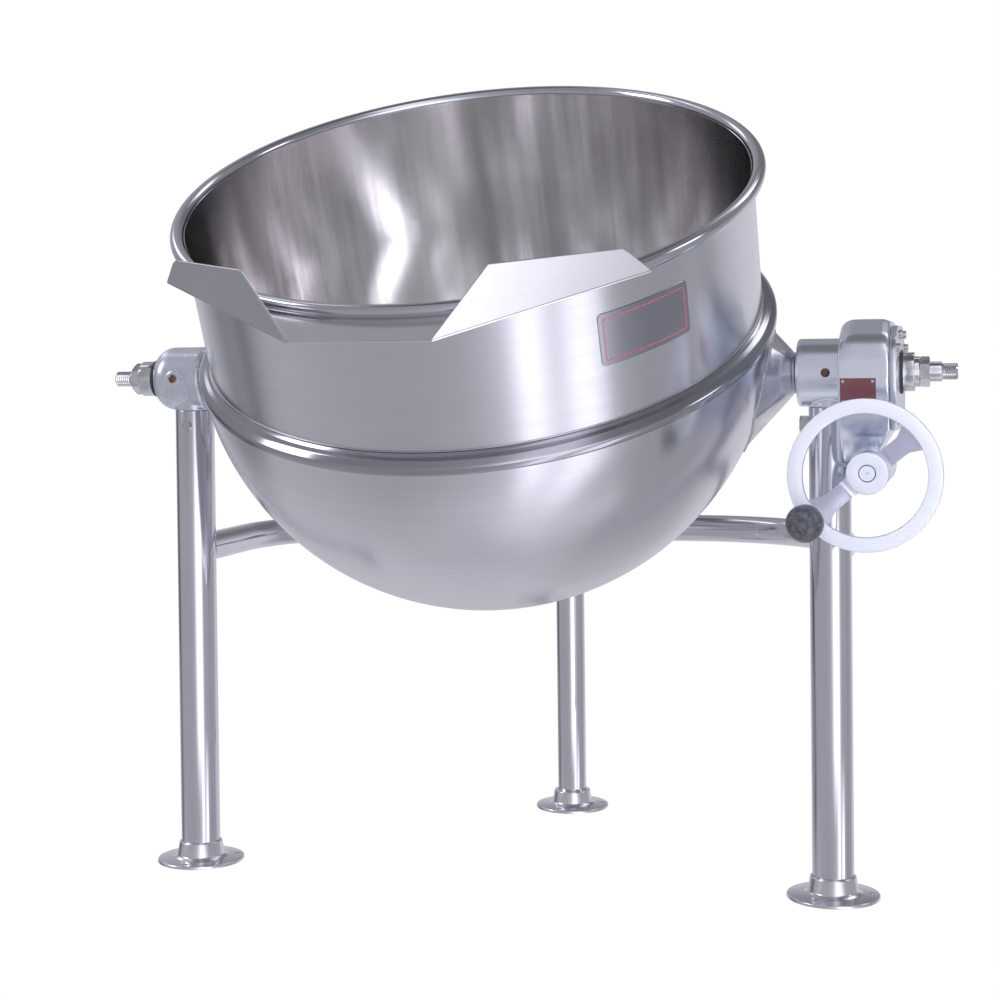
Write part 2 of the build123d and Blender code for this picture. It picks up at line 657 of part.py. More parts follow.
def gearbox_housing():
    """Moulded casting: trunnion wall, worm case, cover bosses and leg saddle."""
    cavity = yz(BOX_INNER_X) * extrude(box_face(BOX_WALL), BOX_X[1] - BOX_INNER_X)
    low_x = SECTOR_X[1] + LOWER_GAP
    high = BOX_TOP + 16
    room = extrude(front_view((BOX_INNER_X, high), (BOX_X[1], high), (BOX_X[1], COVER_LOW + 7),
                              (low_x, COVER_LOW - 20), (low_x, -BOX_R - 18), (BOX_INNER_X, -BOX_R - 18)), 4 * BOX_R)
    body = box_solid() - (cavity & room)
    for y, z in screw_spots():
        start = BOX_INNER_X if z > 0 else SECTOR_X[1] + LOWER_GAP + 2
        body = body + x_rod(start, BOX_X[1], BOSS_R, y, AXIS_Z + z)
        body = body - x_rod(BOX_X[1] - 13, BOX_X[1], SCREW_R + RUNNING, y, AXIS_Z + z)
    bore_start = WORM_CORE_Y[0] + BUSH_GAP
    body = body - y_rod(bore_start, CASE_Y[1], CASE_BORE_R) - y_rod(CASE_Y[0], bore_start + 1, FRONT_BUSH_R)
    body = body - x_rod(BOX_X[0], BOX_INNER_X, PILOT_R + SLIP)
    saddle = rod((RIGHT_LEG_X, 0, FRAME_Z), (RIGHT_LEG_X, 0, AXIS_Z - BEARING_BORE_R - 5), LEG_R + SEAT)
    return body - saddle - tie_bolt_bar(SEAT)


def gearbox_cover():
    """Flat outer cover with a rounded top edge."""
    left, right = COVER_X
    side = yz(left) * extrude(box_face(), right - left)
    edge = COVER_EDGE_R
    sight = outline((left, BOX_TOP), (right - edge, BOX_TOP),
                    ((right - edge * 0.2929, BOX_TOP - edge * 0.2929), (right, BOX_TOP - edge)),
                    (right, COVER_LOW), (left, COVER_LOW))
    front = Pos(0, 2 * BOX_R, AXIS_Z) * (Plane.XZ * sight)
    cover = side & extrude(front, 4 * BOX_R)
    for y, z in screw_spots():
        cover = cover - x_rod(left, right, SCREW_R + SLIP, y, AXIS_Z + z)
    return cover - x_rod(left, right, TRUNNION_R + BORE_GAP)


def cover_screw(y, z):
    """Cap screw into the casting."""
    seat = COVER_X[1]
    end = seat + SCREW_HEAD
    head = x_rod(seat, end, SCREW_HEAD_R, y, AXIS_Z + z) - x_rod(end - 3, end, SCREW_R - 0.7, y, AXIS_Z + z)
    return head + x_rod(BOX_X[1] - 12, seat, SCREW_R, y, AXIS_Z + z)


def tie_bolt_bar(grow=0.0):
    """Bolt line through the right leg, from the inner side."""
    return x_rod(RIGHT_LEG_X - LEG_R - 4.6, BOX_INNER_X + 12, TIE_BOLT_R + grow, z=TIE_BOLT_Z)


def data_plate():
    """Bare curved plate on the front of the casting."""
    low, high = (radians(a) for a in DATA_ANGLES)

    def at(radius, angle):
        return (-radius * cos(angle), -radius * sin(angle))

    middle = (low + high) / 2
    inner = BOX_R + DATA_GLUE
    outer = BOX_R + DATA_T
    face = outline(at(inner, low), (at(inner, middle), at(inner, high)), at(outer, high),
                   (at(outer, middle), at(outer, low)))
    return yz(DATA_X[0]) * extrude(face, DATA_X[1] - DATA_X[0])


def rivet(x, angle, grow=0.0):
    """Small round rivet through the plate, square to it."""
    turn = radians(angle)
    out = Vector(0, -cos(turn), -sin(turn))
    base = Vector(x, 0, AXIS_Z) + out * (BOX_R - 3)
    tip = base + out * (3 + DATA_T + 0.9)
    return rod(tuple(base), tuple(tip), RIVET_R + grow)


def data_rivets():
    """Four rivets near the plate's corners."""
    return [(x, a) for x in (DATA_X[0] + 3.5, DATA_X[1] - 3.5) for a in (DATA_ANGLES[0] + 1.8, DATA_ANGLES[1] - 1.8)]


# ---------------------------------------------------------------- stand

def leg(x):
    """Front leg tube."""
    bar = rod((x, 0, PLATE_T), (x, 0, LEG_TOP_Z), LEG_R)
    return bar - rod((x, 0, PLATE_T), (x, 0, LEG_TOP_Z), LEG_R - LEG_WALL)


def frame_bar(radius):
    """U-bent bar of the rear frame tube."""
    back = REAR_LEG[1]
    path = Pos(0, 0, FRAME_Z) * FilletPolyline((LEFT_LEG_X, 0), (LEFT_LEG_X, back), (RIGHT_LEG_X, back),
                                               (RIGHT_LEG_X, 0), radius=FRAME_BEND_R)
    return sweep(Plane(origin=(LEFT_LEG_X, 0, FRAME_Z), z_dir=(0, 1, 0)) * Circle(radius), path=path)


def foot(x, y, leg_r, flange_r, collar, phase):
    """Flanged foot: plate, tapered collar and a ring of bolt holes."""
    low_r, top_r, top_z = leg_r + collar[0], leg_r + collar[1], collar[2]
    face = outline((0, 0), (flange_r, 0), (flange_r, PLATE_T - 1.5), (flange_r - 1.5, PLATE_T),
                   (low_r + 2, PLATE_T), (low_r, PLATE_T + 2), (top_r, top_z), (leg_r + SLIP, top_z),
                   (leg_r + SLIP, PLATE_T), (0, PLATE_T))
    body = turned(face, (x, y, 0), (0, 0, 1))
    circle_r = flange_r - BOLT_EDGE
    for hole in range(FOOT_HOLES):
        turn = radians(phase + hole * 360 / FOOT_HOLES)
        spot = (x + circle_r * cos(turn), y + circle_r * sin(turn))
        body = body - rod((*spot, -1), (*spot, PLATE_T + 1), BOLT_HOLE_R)
    return body


def spigot(x):
    """Neck and plug that join a bearing to its leg."""
    neck = rod((x, 0, LEG_TOP_Z), (x, 0, AXIS_Z - BEARING_BORE_R - 5.2), LEG_R)
    return neck + rod((x, 0, LEG_TOP_Z - SPIGOT_LENGTH), (x, 0, LEG_TOP_Z), LEG_R - LEG_WALL - SLIP)


def plug_bar(x, grow=0.0):
    """Grease plug line at the front of a bearing."""
    return rod((x, -BEARING_BORE_R - 5, AXIS_Z), (x, -BARREL_R - 1, AXIS_Z), PLUG_R - 1 + grow)


def grease_plug(x):
    """Brass plug with a slotted round head."""
    head = rod((x, -BARREL_R + 1, AXIS_Z), (x, -BARREL_R - 3, AXIS_Z), PLUG_R) - x_rod(x - 10, x + 10, BARREL_R)
    slot = block((x - 0.7, x + 0.7), (-BARREL_R - 4, -BARREL_R - 1.8), (AXIS_Z - 8, AXIS_Z + 8))
    return plug_bar(x) + head - slot


def left_bearing():
    """Round-nosed bearing casting on the left leg."""
    outer, inner = LEFT_BARREL
    face = outline((0, outer), (TRUNNION_R + 2, outer), ((BARREL_R - 6.1, outer + 9.6), (BARREL_R, outer + 25)),
                   (BARREL_R, inner - 3), (BARREL_R - 3, inner), (0, inner))
    body = turned(face, (0, 0, AXIS_Z), (1, 0, 0)) + spigot(LEFT_LEG_X)
    body = body - x_rod(outer + 4, inner, BEARING_BORE_R) - x_rod(outer, outer + 4, TRUNNION_R + BORE_GAP)
    return body - plug_bar(-PLUG_X, RUNNING) - leg_screw_bar(RUNNING)


def right_bearing():
    """Bearing casting on the right leg, piloted into the gearbox."""
    inner, outer = RIGHT_BARREL
    face = outline((0, inner), (BARREL_R - 3, inner), (BARREL_R, inner + 3), (BARREL_R, outer),
                   (PILOT_R, outer), (PILOT_R, PILOT_X), (0, PILOT_X))
    body = turned(face, (0, 0, AXIS_Z), (1, 0, 0)) + spigot(RIGHT_LEG_X)
    body = body - x_rod(inner, PILOT_X, BEARING_BORE_R) - plug_bar(PLUG_X, RUNNING)
    return body - tie_bolt_bar(SEAT)


def leg_screw_bar(grow=0.0):
    """Screw line at the front of the left leg."""
    return rod((LEFT_LEG_X, 13.4 - LEG_R, LEG_SCREW_Z), (LEFT_LEG_X, -1.6 - LEG_R, LEG_SCREW_Z), LEG_SCREW_R + grow)


def leg_screw():
    """Round-headed screw seated on the leg."""
    head = rod((LEFT_LEG_X, 5.4 - LEG_R, LEG_SCREW_Z), (LEFT_LEG_X, -LEG_R - 3.5, LEG_SCREW_Z), 2 * LEG_SCREW_R)
    tube = rod((LEFT_LEG_X, 0, LEG_SCREW_Z - 20), (LEFT_LEG_X, 0, LEG_SCREW_Z + 20), LEG_R)
    return (head - tube) + leg_screw_bar()


def tie_bolt():
    """Hexagon bolt whose head is seated on the right leg."""
    head = hex_bar((RIGHT_LEG_X - LEG_R - 10.5, 0, TIE_BOLT_Z), (RIGHT_LEG_X - LEG_R + 7.4, 0, TIE_BOLT_Z), TIE_BOLT_FLATS)
    tube = rod((RIGHT_LEG_X, 0, TIE_BOLT_Z - 20), (RIGHT_LEG_X, 0, TIE_BOLT_Z + 20), LEG_R)
    return (head - tube) + tie_bolt_bar()


def tie_nut():
    """Nut on the tie bolt inside the gearbox."""
    bar = hex_bar((BOX_INNER_X, 0, TIE_BOLT_Z), (BOX_INNER_X + 9, 0, TIE_BOLT_Z), TIE_BOLT_FLATS)
    return bar - tie_bolt_bar()


# ---------------------------------------------------------------- unions

def union_body(side, seal_x, bore_x, steps, nipple):
    """Rotary union body: bearing bore, hexagon and a socket for the nipple."""
    start = side * (abs(seal_x) + 0.1)
    body = None
    here = start
    for end, radius, kind in steps:
        if kind == "hex":
            piece = hex_bar((here, 0, AXIS_Z), (end, 0, AXIS_Z), 2 * radius)
        elif kind == "round":
            piece = x_rod(here, end, radius)
        else:
            cone = Cone(radius + kind, radius, abs(end - here), align=(Align.CENTER, Align.CENTER, Align.MIN))
            piece = along((here, 0, AXIS_Z), (side, 0, 0)) * cone
        body = piece if body is None else body + piece
        here = end
    body = body - x_rod(start, bore_x, JOURNAL_R + 0.06) - x_rod(bore_x, here, PASSAGE_R)
    return body - x_rod(nipple[0], here, nipple[2] - NIPPLE_STEP + RUNNING)


def nipple_tube(nipple, mouth_x):
    """Pipe nipple shouldered on the mouth of its socket."""
    inner, outer, radius = nipple
    side = 1 if outer > 0 else -1
    span = abs(outer - inner)
    depth = abs(mouth_x - inner)
    tail_r = radius - NIPPLE_STEP
    face = outline((NIPPLE_BORE_R, 0), (tail_r, 0), (tail_r, depth), (radius, depth),
                   (radius, span - 1.5), (radius - 1.5, span), (NIPPLE_BORE_R, span))
    return turned(face, (inner, 0, AXIS_Z), (side, 0, 0))


def build():
    """Make and write every piece."""
    os.makedirs("parts", exist_ok=True)
    core = envelope()

    # Kettle body
    save("kettle_shell", KETTLE * kettle_shell())
    save("rim_bead", KETTLE * rim_bead())
    save("steam_jacket", KETTLE * steam_jacket())
    save("jacket_ring", KETTLE * jacket_ring())
    save("pour_lip_pan", KETTLE * lip_pan())
    save("right_lip_wing", KETTLE * lip_wing(1))
    save("left_lip_wing", KETTLE * lip_wing(-1))
    save("badge_plate", KETTLE * badge())
    save("right_trunnion_gusset", KETTLE * gusset(1, core))
    save("left_trunnion_gusset", KETTLE * gusset(-1, core))
    save("right_trunnion", KETTLE * (trunnion(1, RIGHT_SHOULDER_X, RIGHT_JOURNAL_X) - key_space(0.05)))
    save("left_trunnion", KETTLE * trunnion(-1, LEFT_SHOULDER_X, LEFT_JOURNAL_X))
    save("condensate_tube", KETTLE * siphon())
    save("worm_wheel_sector", worm_wheel_sector())
    save("wheel_key", KETTLE * key_space())
    save("retaining_ring", ring(HUB_X[1], HUB_X[1] + 3, TRUNNION_R + 6, TRUNNION_R))
    save("right_seal_ring", ring(RIGHT_SHOULDER_X, *RIGHT_SEAL, JOURNAL_R))
    save("left_seal_ring", ring(LEFT_SHOULDER_X, *LEFT_SEAL, JOURNAL_R))

    # Stand
    frame = frame_bar(FRAME_R)
    right_leg = leg(RIGHT_LEG_X) - tie_bolt_bar(SEAT)
    left_leg = leg(LEFT_LEG_X) - leg_screw_bar(RUNNING)
    save("left_leg", left_leg)
    save("right_leg", right_leg)
    low, high = FRAME_Z - 3 * FRAME_R, FRAME_Z + 3 * FRAME_R
    legs = [rod((x, 0, low), (x, 0, high), LEG_R) for x in (LEFT_LEG_X, RIGHT_LEG_X)]
    save("rear_frame_tube", frame - frame_bar(FRAME_R - FRAME_WALL) - legs[0] - legs[1])
    rear_low = (*REAR_LEG, PLATE_T)
    rear_high = (*REAR_LEG, FRAME_Z - 6)
    rear_tube = rod(rear_low, rear_high, REAR_LEG_R) - rod(rear_low, rear_high, REAR_LEG_R - REAR_LEG_WALL)
    save("rear_leg", rear_tube - frame)
    save("left_foot", foot(LEFT_LEG_X, 0, LEG_R, FLANGE_R, COLLAR, 28))
    save("right_foot", foot(RIGHT_LEG_X, 0, LEG_R, FLANGE_R, COLLAR, 7))
    save("rear_foot", foot(*REAR_LEG, REAR_LEG_R, REAR_FLANGE_R, REAR_COLLAR, 17))
    save("left_bearing_housing", left_bearing())
    save("right_bearing_housing", right_bearing())
    save("left_trunnion_bushing", ring(LEFT_BARREL[0] + 4, LEFT_BARREL[1] - 2, BEARING_BORE_R, TRUNNION_R + RUNNING))
    save("right_trunnion_bushing", ring(RIGHT_BARREL[0] + 2, PILOT_X, BEARING_BORE_R, TRUNNION_R + RUNNING))
    save("grease_plugs", grease_plug(-PLUG_X), grease_plug(PLUG_X))
    save("left_leg_screw", leg_screw())
    save("gearbox_tie_bolt", tie_bolt())
    save("tie_bolt_nut", tie_nut())
    rivets = data_rivets()
    housing = gearbox_housing()
    plate = data_plate()
    for x, angle in rivets:
        housing = housing - rivet(x, angle)
        plate = plate - rivet(x, angle)
    save("gearbox_housing", housing)
    save("data_plate", plate)
    save("data_plate_rivets", *[rivet(x, angle) for x, angle in rivets])
    save("gearbox_cover", gearbox_cover())
    save("cover_screws", *[cover_screw(y, z) for y, z in screw_spots()])
    front_span = (CASE_Y[0], WORM_CORE_Y[0] - BUSH_GAP)
    rear_span = (WORM_CORE_Y[1] + BUSH_GAP, CASE_Y[1] - CAP_SINK)
    front_bush = y_rod(*front_span, FRONT_BUSH_R) - y_rod(*front_span, WORM_SHAFT_R + RUNNING)
    rear_bush = y_rod(*rear_span, CASE_BORE_R) - y_rod(*rear_span, WORM_SHAFT_R + RUNNING)
    save("front_worm_bushing", front_bush)
    save("rear_worm_bushing", rear_bush)
    cap = y_rod(CASE_Y[1] - CAP_SINK, CASE_Y[1], CASE_BORE_R)
    save("worm_end_cap", cap + y_rod(CASE_Y[1], CASE_Y[1] + CAP_FLANGE, CASE_R - 1))

    # Handwheel
    save("worm_shaft", worm_shaft())
    save("handwheel", handwheel())
    save("handwheel_key", wheel_key())
    save("hub_set_screw", set_screw_bar(LEG_SCREW_R, WHEEL_HUB_R - 3.5))
    collar_top = RIM[1] + STUD_COLLAR
    stud_top = KNOB_FRONT + 0.3
    stud = on_rim(*RIM, STUD_TAIL_R) + on_rim(RIM[1], collar_top, STUD_R + 1.5) + on_rim(collar_top, stud_top, STUD_R)
    save("knob_stud", stud + on_rim(stud_top, stud_top + 2.2, STUD_R + 2))
    knob_x = WORM_X + KNOB_PATH_R * cos(radians(KNOB_ANGLE))
    knob_z = WORM_Z + KNOB_PATH_R * sin(radians(KNOB_ANGLE))
    ball = Pos(knob_x, -KNOB_DEPTH, knob_z) * Sphere(KNOB_R)
    reach = KNOB_R + 8
    ball = ball & block((knob_x - reach, knob_x + reach), (-KNOB_FRONT, -KNOB_BACK), (knob_z - reach, knob_z + reach))
    save("ball_knob", ball - on_rim(KNOB_DEPTH - reach, KNOB_DEPTH + reach, STUD_R + RUNNING))

    # Unions
    save("inlet_union_body", union_body(1, RIGHT_SEAL[0], RIGHT_JOURNAL_X + 0.5, RIGHT_STEPS, RIGHT_NIPPLE))
    save("inlet_union_nipple", nipple_tube(RIGHT_NIPPLE, RIGHT_STEPS[-1][0]))
    save("outlet_union_body", union_body(-1, LEFT_SEAL[0], LEFT_JOURNAL_X - 0.5, LEFT_STEPS, LEFT_NIPPLE))
    save("outlet_union_nipple", nipple_tube(LEFT_NIPPLE, LEFT_STEPS[-1][0]))


if __name__ == "__main__":
    build()
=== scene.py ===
"""Steam jacketed tilting kettle: finer pieces, finishes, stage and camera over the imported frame."""

import logging
import math
from dataclasses import dataclass
from enum import Enum
from typing import Callable, Optional, Sequence

import bmesh
import bpy
from mathutils import Matrix, Vector


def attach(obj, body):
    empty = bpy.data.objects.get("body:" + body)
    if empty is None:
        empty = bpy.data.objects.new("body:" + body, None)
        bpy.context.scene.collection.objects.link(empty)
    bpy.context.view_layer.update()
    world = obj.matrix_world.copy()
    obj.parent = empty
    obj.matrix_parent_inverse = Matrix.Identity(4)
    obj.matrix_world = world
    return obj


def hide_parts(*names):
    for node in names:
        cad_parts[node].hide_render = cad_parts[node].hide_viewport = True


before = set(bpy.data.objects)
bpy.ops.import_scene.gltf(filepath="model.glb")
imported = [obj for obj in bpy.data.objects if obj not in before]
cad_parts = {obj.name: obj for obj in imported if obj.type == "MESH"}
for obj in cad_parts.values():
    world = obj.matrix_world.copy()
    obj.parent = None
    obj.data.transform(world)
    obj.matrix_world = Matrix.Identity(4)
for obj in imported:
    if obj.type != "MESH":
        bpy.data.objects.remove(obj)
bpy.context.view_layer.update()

log = logging.getLogger("kettle")

Point = tuple[float, float]
Spot = tuple[float, float, float]

# Sizes shared by several pieces, in millimetres, before the model is centred on its box
AXIS_Z = 642.6
REST_TILT = 26.5
MID_X = 28.15
MID_Y = -16.238
SHELL_R = 347.0
BOWL_R = 344.5
BOWL_H = 76.0
RIM_H = 256.0
RIM_PATH = 353.5
JACKET_R = 361.0
JACKET_TOP = 60.0
TRUNNION_R = 22.0
LEFT_LEG_X = -411.2
RIGHT_LEG_X = 425.2
LEG_R = 25.4
LEG_TOP_Z = 600.0
LEFT_LEG = (LEFT_LEG_X, 0.0)
RIGHT_LEG = (RIGHT_LEG_X, 0.0)
REAR_LEG = (8.0, 398.0)
REAR_LEG_R = 20.65
FRAME_Z = 415.0
FRAME_R = 19.05
WORM = (478.0, 526.6)
FORWARD = (0.0, -1.0, 0.0)
UPWARD = (0.0, 0.0, 1.0)

# Sharpest angle that is shaded smooth, in degrees, on round beads and on folded sheets
BEAD_SMOOTH = 60.0
SHEET_SMOOTH = 12.0

STAND = Matrix.Scale(0.001, 4) @ Matrix.Translation((-MID_X, -MID_Y, 0.0))
KETTLE = STAND @ Matrix.Translation((0.0, 0.0, AXIS_Z)) @ Matrix.Rotation(math.radians(REST_TILT), 4, "X")


class Body(Enum):
    """Moving groups of the model."""

    STAND = "stand"
    KETTLE = "kettle"
    HANDWHEEL = "handwheel"
    KNOB = "ball_knob"
    INLET = "steam_inlet"
    OUTLET = "condensate_outlet"


class Grain(Enum):
    """Which way a metal surface was brushed, or which way painted reflection streaks run."""

    ROUND_BOWL = "round the bowl"
    ALONG_Z = "along an upright tube"
    ALONG_X = "along the trunnion line"
    DOWN_BOWL = "down the bowl"
    NONE = "no brushing"


# ------------------------------------------------------------------ bench tools

class Bench:
    """Hand tools that shape one piece at a time, in millimetres."""

    @staticmethod
    def clear() -> None:
        """Leave edit mode and select nothing."""
        if bpy.context.object and bpy.context.object.mode != "OBJECT":
            bpy.ops.object.mode_set(mode="OBJECT")
        bpy.ops.object.select_all(action="DESELECT")

    @staticmethod
    def pick(obj: bpy.types.Object) -> None:
        """Make one object the selected and active one.

        Args:
            obj: The object to work on.
        """
        Bench.clear()
        obj.select_set(True)
        bpy.context.view_layer.objects.active = obj

    @staticmethod
    def edit(obj: bpy.types.Object) -> None:
        """Take one object into edit mode.

        Args:
            obj: The object to work on.
        """
        Bench.pick(obj)
        bpy.ops.object.mode_set(mode="EDIT")

    @staticmethod
    def named(name: str) -> bpy.types.Object:
        """Name the new active object and its mesh.

        Args:
            name: Name of the piece.

        Returns:
            The active object.
        """
        obj = bpy.context.object
        obj.name = name
        obj.data.name = name
        return obj

    @staticmethod
    def trace(name: str, line: Sequence[Point], closed: bool) -> bpy.types.Object:
        """Draw a chain of edges in the X-Z plane by pulling one vertex along.

        Args:
            name: Name of the piece.
            line: Points to pass, as (x, z).
            closed: Whether the last point joins the first.

        Returns:
            The object, left in edit mode with everything selected.
        """
        Bench.clear()
        bpy.ops.mesh.primitive_plane_add(size=1.0)
        obj = Bench.named(name)
        bpy.ops.object.mode_set(mode="EDIT")
        bpy.ops.mesh.select_all(action="SELECT")
        bpy.ops.mesh.merge(type="CENTER")
        bpy.ops.mesh.select_mode(type="VERT")
        bpy.ops.transform.translate(value=(line[0][0], 0.0, line[0][1]))
        for (x0, z0), (x1, z1) in zip(line, line[1:]):
            bpy.ops.mesh.extrude_vertices_move(TRANSFORM_OT_translate={"value": (x1 - x0, 0.0, z1 - z0)})
        if closed:
            mesh = bmesh.from_edit_mesh(obj.data)
            mesh.verts.ensure_lookup_table()
            for vert in mesh.verts:
                vert.select_set(len(vert.link_edges) < 2)
            mesh.select_flush_mode()
            bmesh.update_edit_mesh(obj.data)
            bpy.ops.mesh.edge_face_add()
        bpy.ops.mesh.select_all(action="SELECT")
        return obj

    @staticmethod
    def turn(name: str, line: Sequence[Point], steps: int = 96, closed: bool = False) -> bpy.types.Object:
        """Turn a (radius, height) line about Z into a closed skin.

        Args:
            name: Name of the piece.
            line: Profile; it starts and ends on the axis unless closed.
            steps: Facets round the turn.
            closed: Whether the profile is a loop clear of the axis.

        Returns:
            The turned object, in object mode.
        """
        obj = Bench.trace(name, line, closed)
        bpy.ops.mesh.spin(steps=steps, angle=2.0 * math.pi, center=(0.0, 0.0, 0.0), axis=(0.0, 0.0, 1.0))
        Bench.heal()
        return obj

    @staticmethod
    def slab(name: str, line: Sequence[Point], thickness: float) -> bpy.types.Object:
        """Cut a plate of an outline; it lies in X-Z and is pulled towards +Y.

        Args:
            name: Name of the piece.
            line: Outline points.
            thickness: How far it is pulled.

        Returns:
            The plate, in object mode.
        """
        obj = Bench.trace(name, line, True)
        bpy.ops.mesh.edge_face_add()
        bpy.ops.mesh.extrude_region_move(TRANSFORM_OT_translate={"value": (0.0, thickness, 0.0)})
        Bench.heal()
        return obj

    @staticmethod
    def heal() -> None:
        """Merge doubles, point faces outwards and leave edit mode."""
        bpy.ops.mesh.select_all(action="SELECT")
        bpy.ops.mesh.remove_doubles(threshold=0.001)
        bpy.ops.mesh.normals_make_consistent(inside=False)
        bpy.ops.object.mode_set(mode="OBJECT")

    @staticmethod
    def mend(obj: bpy.types.Object) -> bpy.types.Object:
        """Merge a shape's doubles and point its faces outwards.

        Args:
            obj: The shape.

        Returns:
            The same shape, in object mode.
        """
        Bench.edit(obj)
        Bench.heal()
        return obj

    @staticmethod
    def select_where(test: Callable[[Vector], bool]) -> None:
        """Select the vertices of the edited mesh that pass a test.

        Args:
            test: Tells from a vertex's place whether it is selected.
        """
        bpy.ops.mesh.select_mode(type="VERT")
        bpy.ops.mesh.select_all(action="DESELECT")
        data = bpy.context.edit_object.data
        mesh = bmesh.from_edit_mesh(data)
        for vert in mesh.verts:
            vert.select_set(test(vert.co))
        mesh.select_flush(True)
        bmesh.update_edit_mesh(data)

    @staticmethod
    def copy(obj: bpy.types.Object, name: str) -> bpy.types.Object:
        """Copy a piece together with its mesh.

        Args:
            obj: The piece.
            name: Name of the copy.

        Returns:
            The copy.
        """
        Bench.pick(obj)
        bpy.ops.object.duplicate(linked=False)
        return Bench.named(name)

    @staticmethod
    def rod(name: str, start: Spot, end: Spot, radius: float, steps: int = 48) -> bpy.types.Object:
        """Round bar between two points, for joining and cutting.

        Args:
            name: Name of the bar.
            start: One end.
            end: Other end.
            radius: Its radius.
            steps: Facets round it.

        Returns:
            The bar, set in place.
        """
        Bench.clear()
        span = Vector(end) - Vector(start)
        bpy.ops.mesh.primitive_cylinder_add(vertices=steps, radius=radius, depth=span.length)
        obj = Bench.named(name)
        middle = (Vector(start) + Vector(end)) / 2.0
        Bench.move(obj, Matrix.Translation(middle) @ span.to_track_quat("Z", "Y").to_matrix().to_4x4())
        return obj

    @staticmethod
    def move(obj: bpy.types.Object, place: Matrix) -> bpy.types.Object:
        """Set a piece in place and put that place into its mesh.

        Args:
            obj: The piece.
            place: Where it goes.

        Returns:
            The same piece.
        """
        Bench.pick(obj)
        obj.matrix_world = place
        bpy.ops.object.transform_apply(location=True, rotation=True, scale=True)
        return obj

    @staticmethod
    def along(obj: bpy.types.Object, start: Spot, direction: Spot) -> bpy.types.Object:
        """Stand a piece turned about Z on a line.

        Args:
            obj: The piece.
            start: Where its zero height goes.
            direction: Where its +Z points.

        Returns:
            The same piece.
        """
        turn = Vector(direction).to_track_quat("Z", "Y").to_matrix().to_4x4()
        return Bench.move(obj, Matrix.Translation(start) @ turn)

    @staticmethod
    def apply(obj: bpy.types.Object, kind: str, **settings: object) -> bpy.types.Object:
        """Add one modifier and apply it.

        Args:
            obj: The piece.
            kind: Modifier type.
            **settings: Its settings.

        Returns:
            The same piece.
        """
        Bench.pick(obj)
        modifier = obj.modifiers.new(kind.title(), kind)
        for key, value in settings.items():
            setattr(modifier, key, value)
        bpy.ops.object.modifier_apply(modifier=modifier.name)
        return obj

    @staticmethod
    def join(obj: bpy.types.Object, other: bpy.types.Object, how: str = "UNION") -> bpy.types.Object:
        """Boolean two closed shapes and drop the second.

        Args:
            obj: The piece that stays.
            other: The shape joined, cut away or met.
            how: UNION, DIFFERENCE or INTERSECT.

        Returns:
            The first piece.
        """
        Bench.apply(obj, "BOOLEAN", operation=how, object=other, solver="EXACT")
        bpy.data.objects.remove(other)
        return obj

    @staticmethod
    def soften(obj: bpy.types.Object, width: float, segments: int = 2,
               angle: float = 30.0) -> bpy.types.Object:
        """Round a piece's sharp edges.

        Args:
            obj: The piece.
            width: Width of the rounding.
            segments: Facets across it.
            angle: Sharpest angle left alone, in degrees.

        Returns:
            The same piece.
        """
        return Bench.apply(obj, "BEVEL", width=width, segments=segments, limit_method="ANGLE",
                           angle_limit=math.radians(angle), harden_normals=False)

    @staticmethod
    def cast(obj: bpy.types.Object, grain: float, passes: int) -> bpy.types.Object:
        """Give a joined shape the soft edges of a sand casting.

        Args:
            obj: The piece.
            grain: Size of its new faces.
            passes: How much it is smoothed.

        Returns:
            The same piece.
        """
        Bench.apply(obj, "REMESH", mode="VOXEL", voxel_size=grain, use_smooth_shade=True)
        return Bench.apply(obj, "SMOOTH", factor=0.5, iterations=passes)

    @staticmethod
    def smooth(obj: bpy.types.Object, angle: float = 35.0) -> bpy.types.Object:
        """Shade a piece smooth up to an angle.

        Args:
            obj: The piece.
            angle: Sharpest smooth angle, in degrees.

        Returns:
            The same piece.
        """
        Bench.pick(obj)
        bpy.ops.object.shade_smooth_by_angle(angle=math.radians(angle))
        return obj

    @staticmethod
    def hoop(name: str, centre: Point, radius: float, steps: int) -> bpy.types.Object:
        """Turn a thin round bead, such as a weld, about Z.

        Args:
            name: Name of the bead.
            centre: Middle of its section, as (distance from Z, height).
            radius: Radius of its section.
            steps: Facets round the turn.

        Returns:
            The bead, shaded smooth.
        """
        return Bench.smooth(Bench.turn(name, arc(centre, radius, 0.0, 324.0, 9), steps, True), BEAD_SMOOTH)

    @staticmethod
    def bead(name: str, points: Sequence[Spot], radius: float, closed: bool = True) -> bpy.types.Object:
        """Lay a thin round bead, such as a weld, along points.

        Args:
            name: Name of the bead.
            points: The line it follows.
            radius: Its radius.
            closed: Whether it meets itself.

        Returns:
            The bead as a mesh, shaded smooth.
        """
        Bench.clear()
        bpy.ops.curve.primitive_nurbs_path_add()
        curve = bpy.context.object.data
        curve.splines.clear()
        spline = curve.splines.new("POLY")
        spline.points.add(len(points) - 1)
        for point, spot in zip(spline.points, points):
            point.co = (*spot, 1.0)
        spline.use_cyclic_u = closed
        curve.bevel_depth = radius
        curve.bevel_resolution = 3
        curve.use_fill_caps = not closed
        bpy.ops.object.convert(target="MESH")
        return Bench.smooth(Bench.mend(Bench.named(name)), BEAD_SMOOTH)


def arc(centre: Point, radius: float, start: float, end: float, steps: int) -> list[Point]:
    """Points on an arc.

    Args:
        centre: Its centre.
        radius: Its radius.
        start: First angle in degrees.
        end: Last angle in degrees.
        steps: Number of chords.

    Returns:
        The points, first and last included.
    """
    turns = [math.radians(start + (end - start) * i / steps) for i in range(steps + 1)]
    return [(centre[0] + radius * math.cos(t), centre[1] + radius * math.sin(t)) for t in turns]


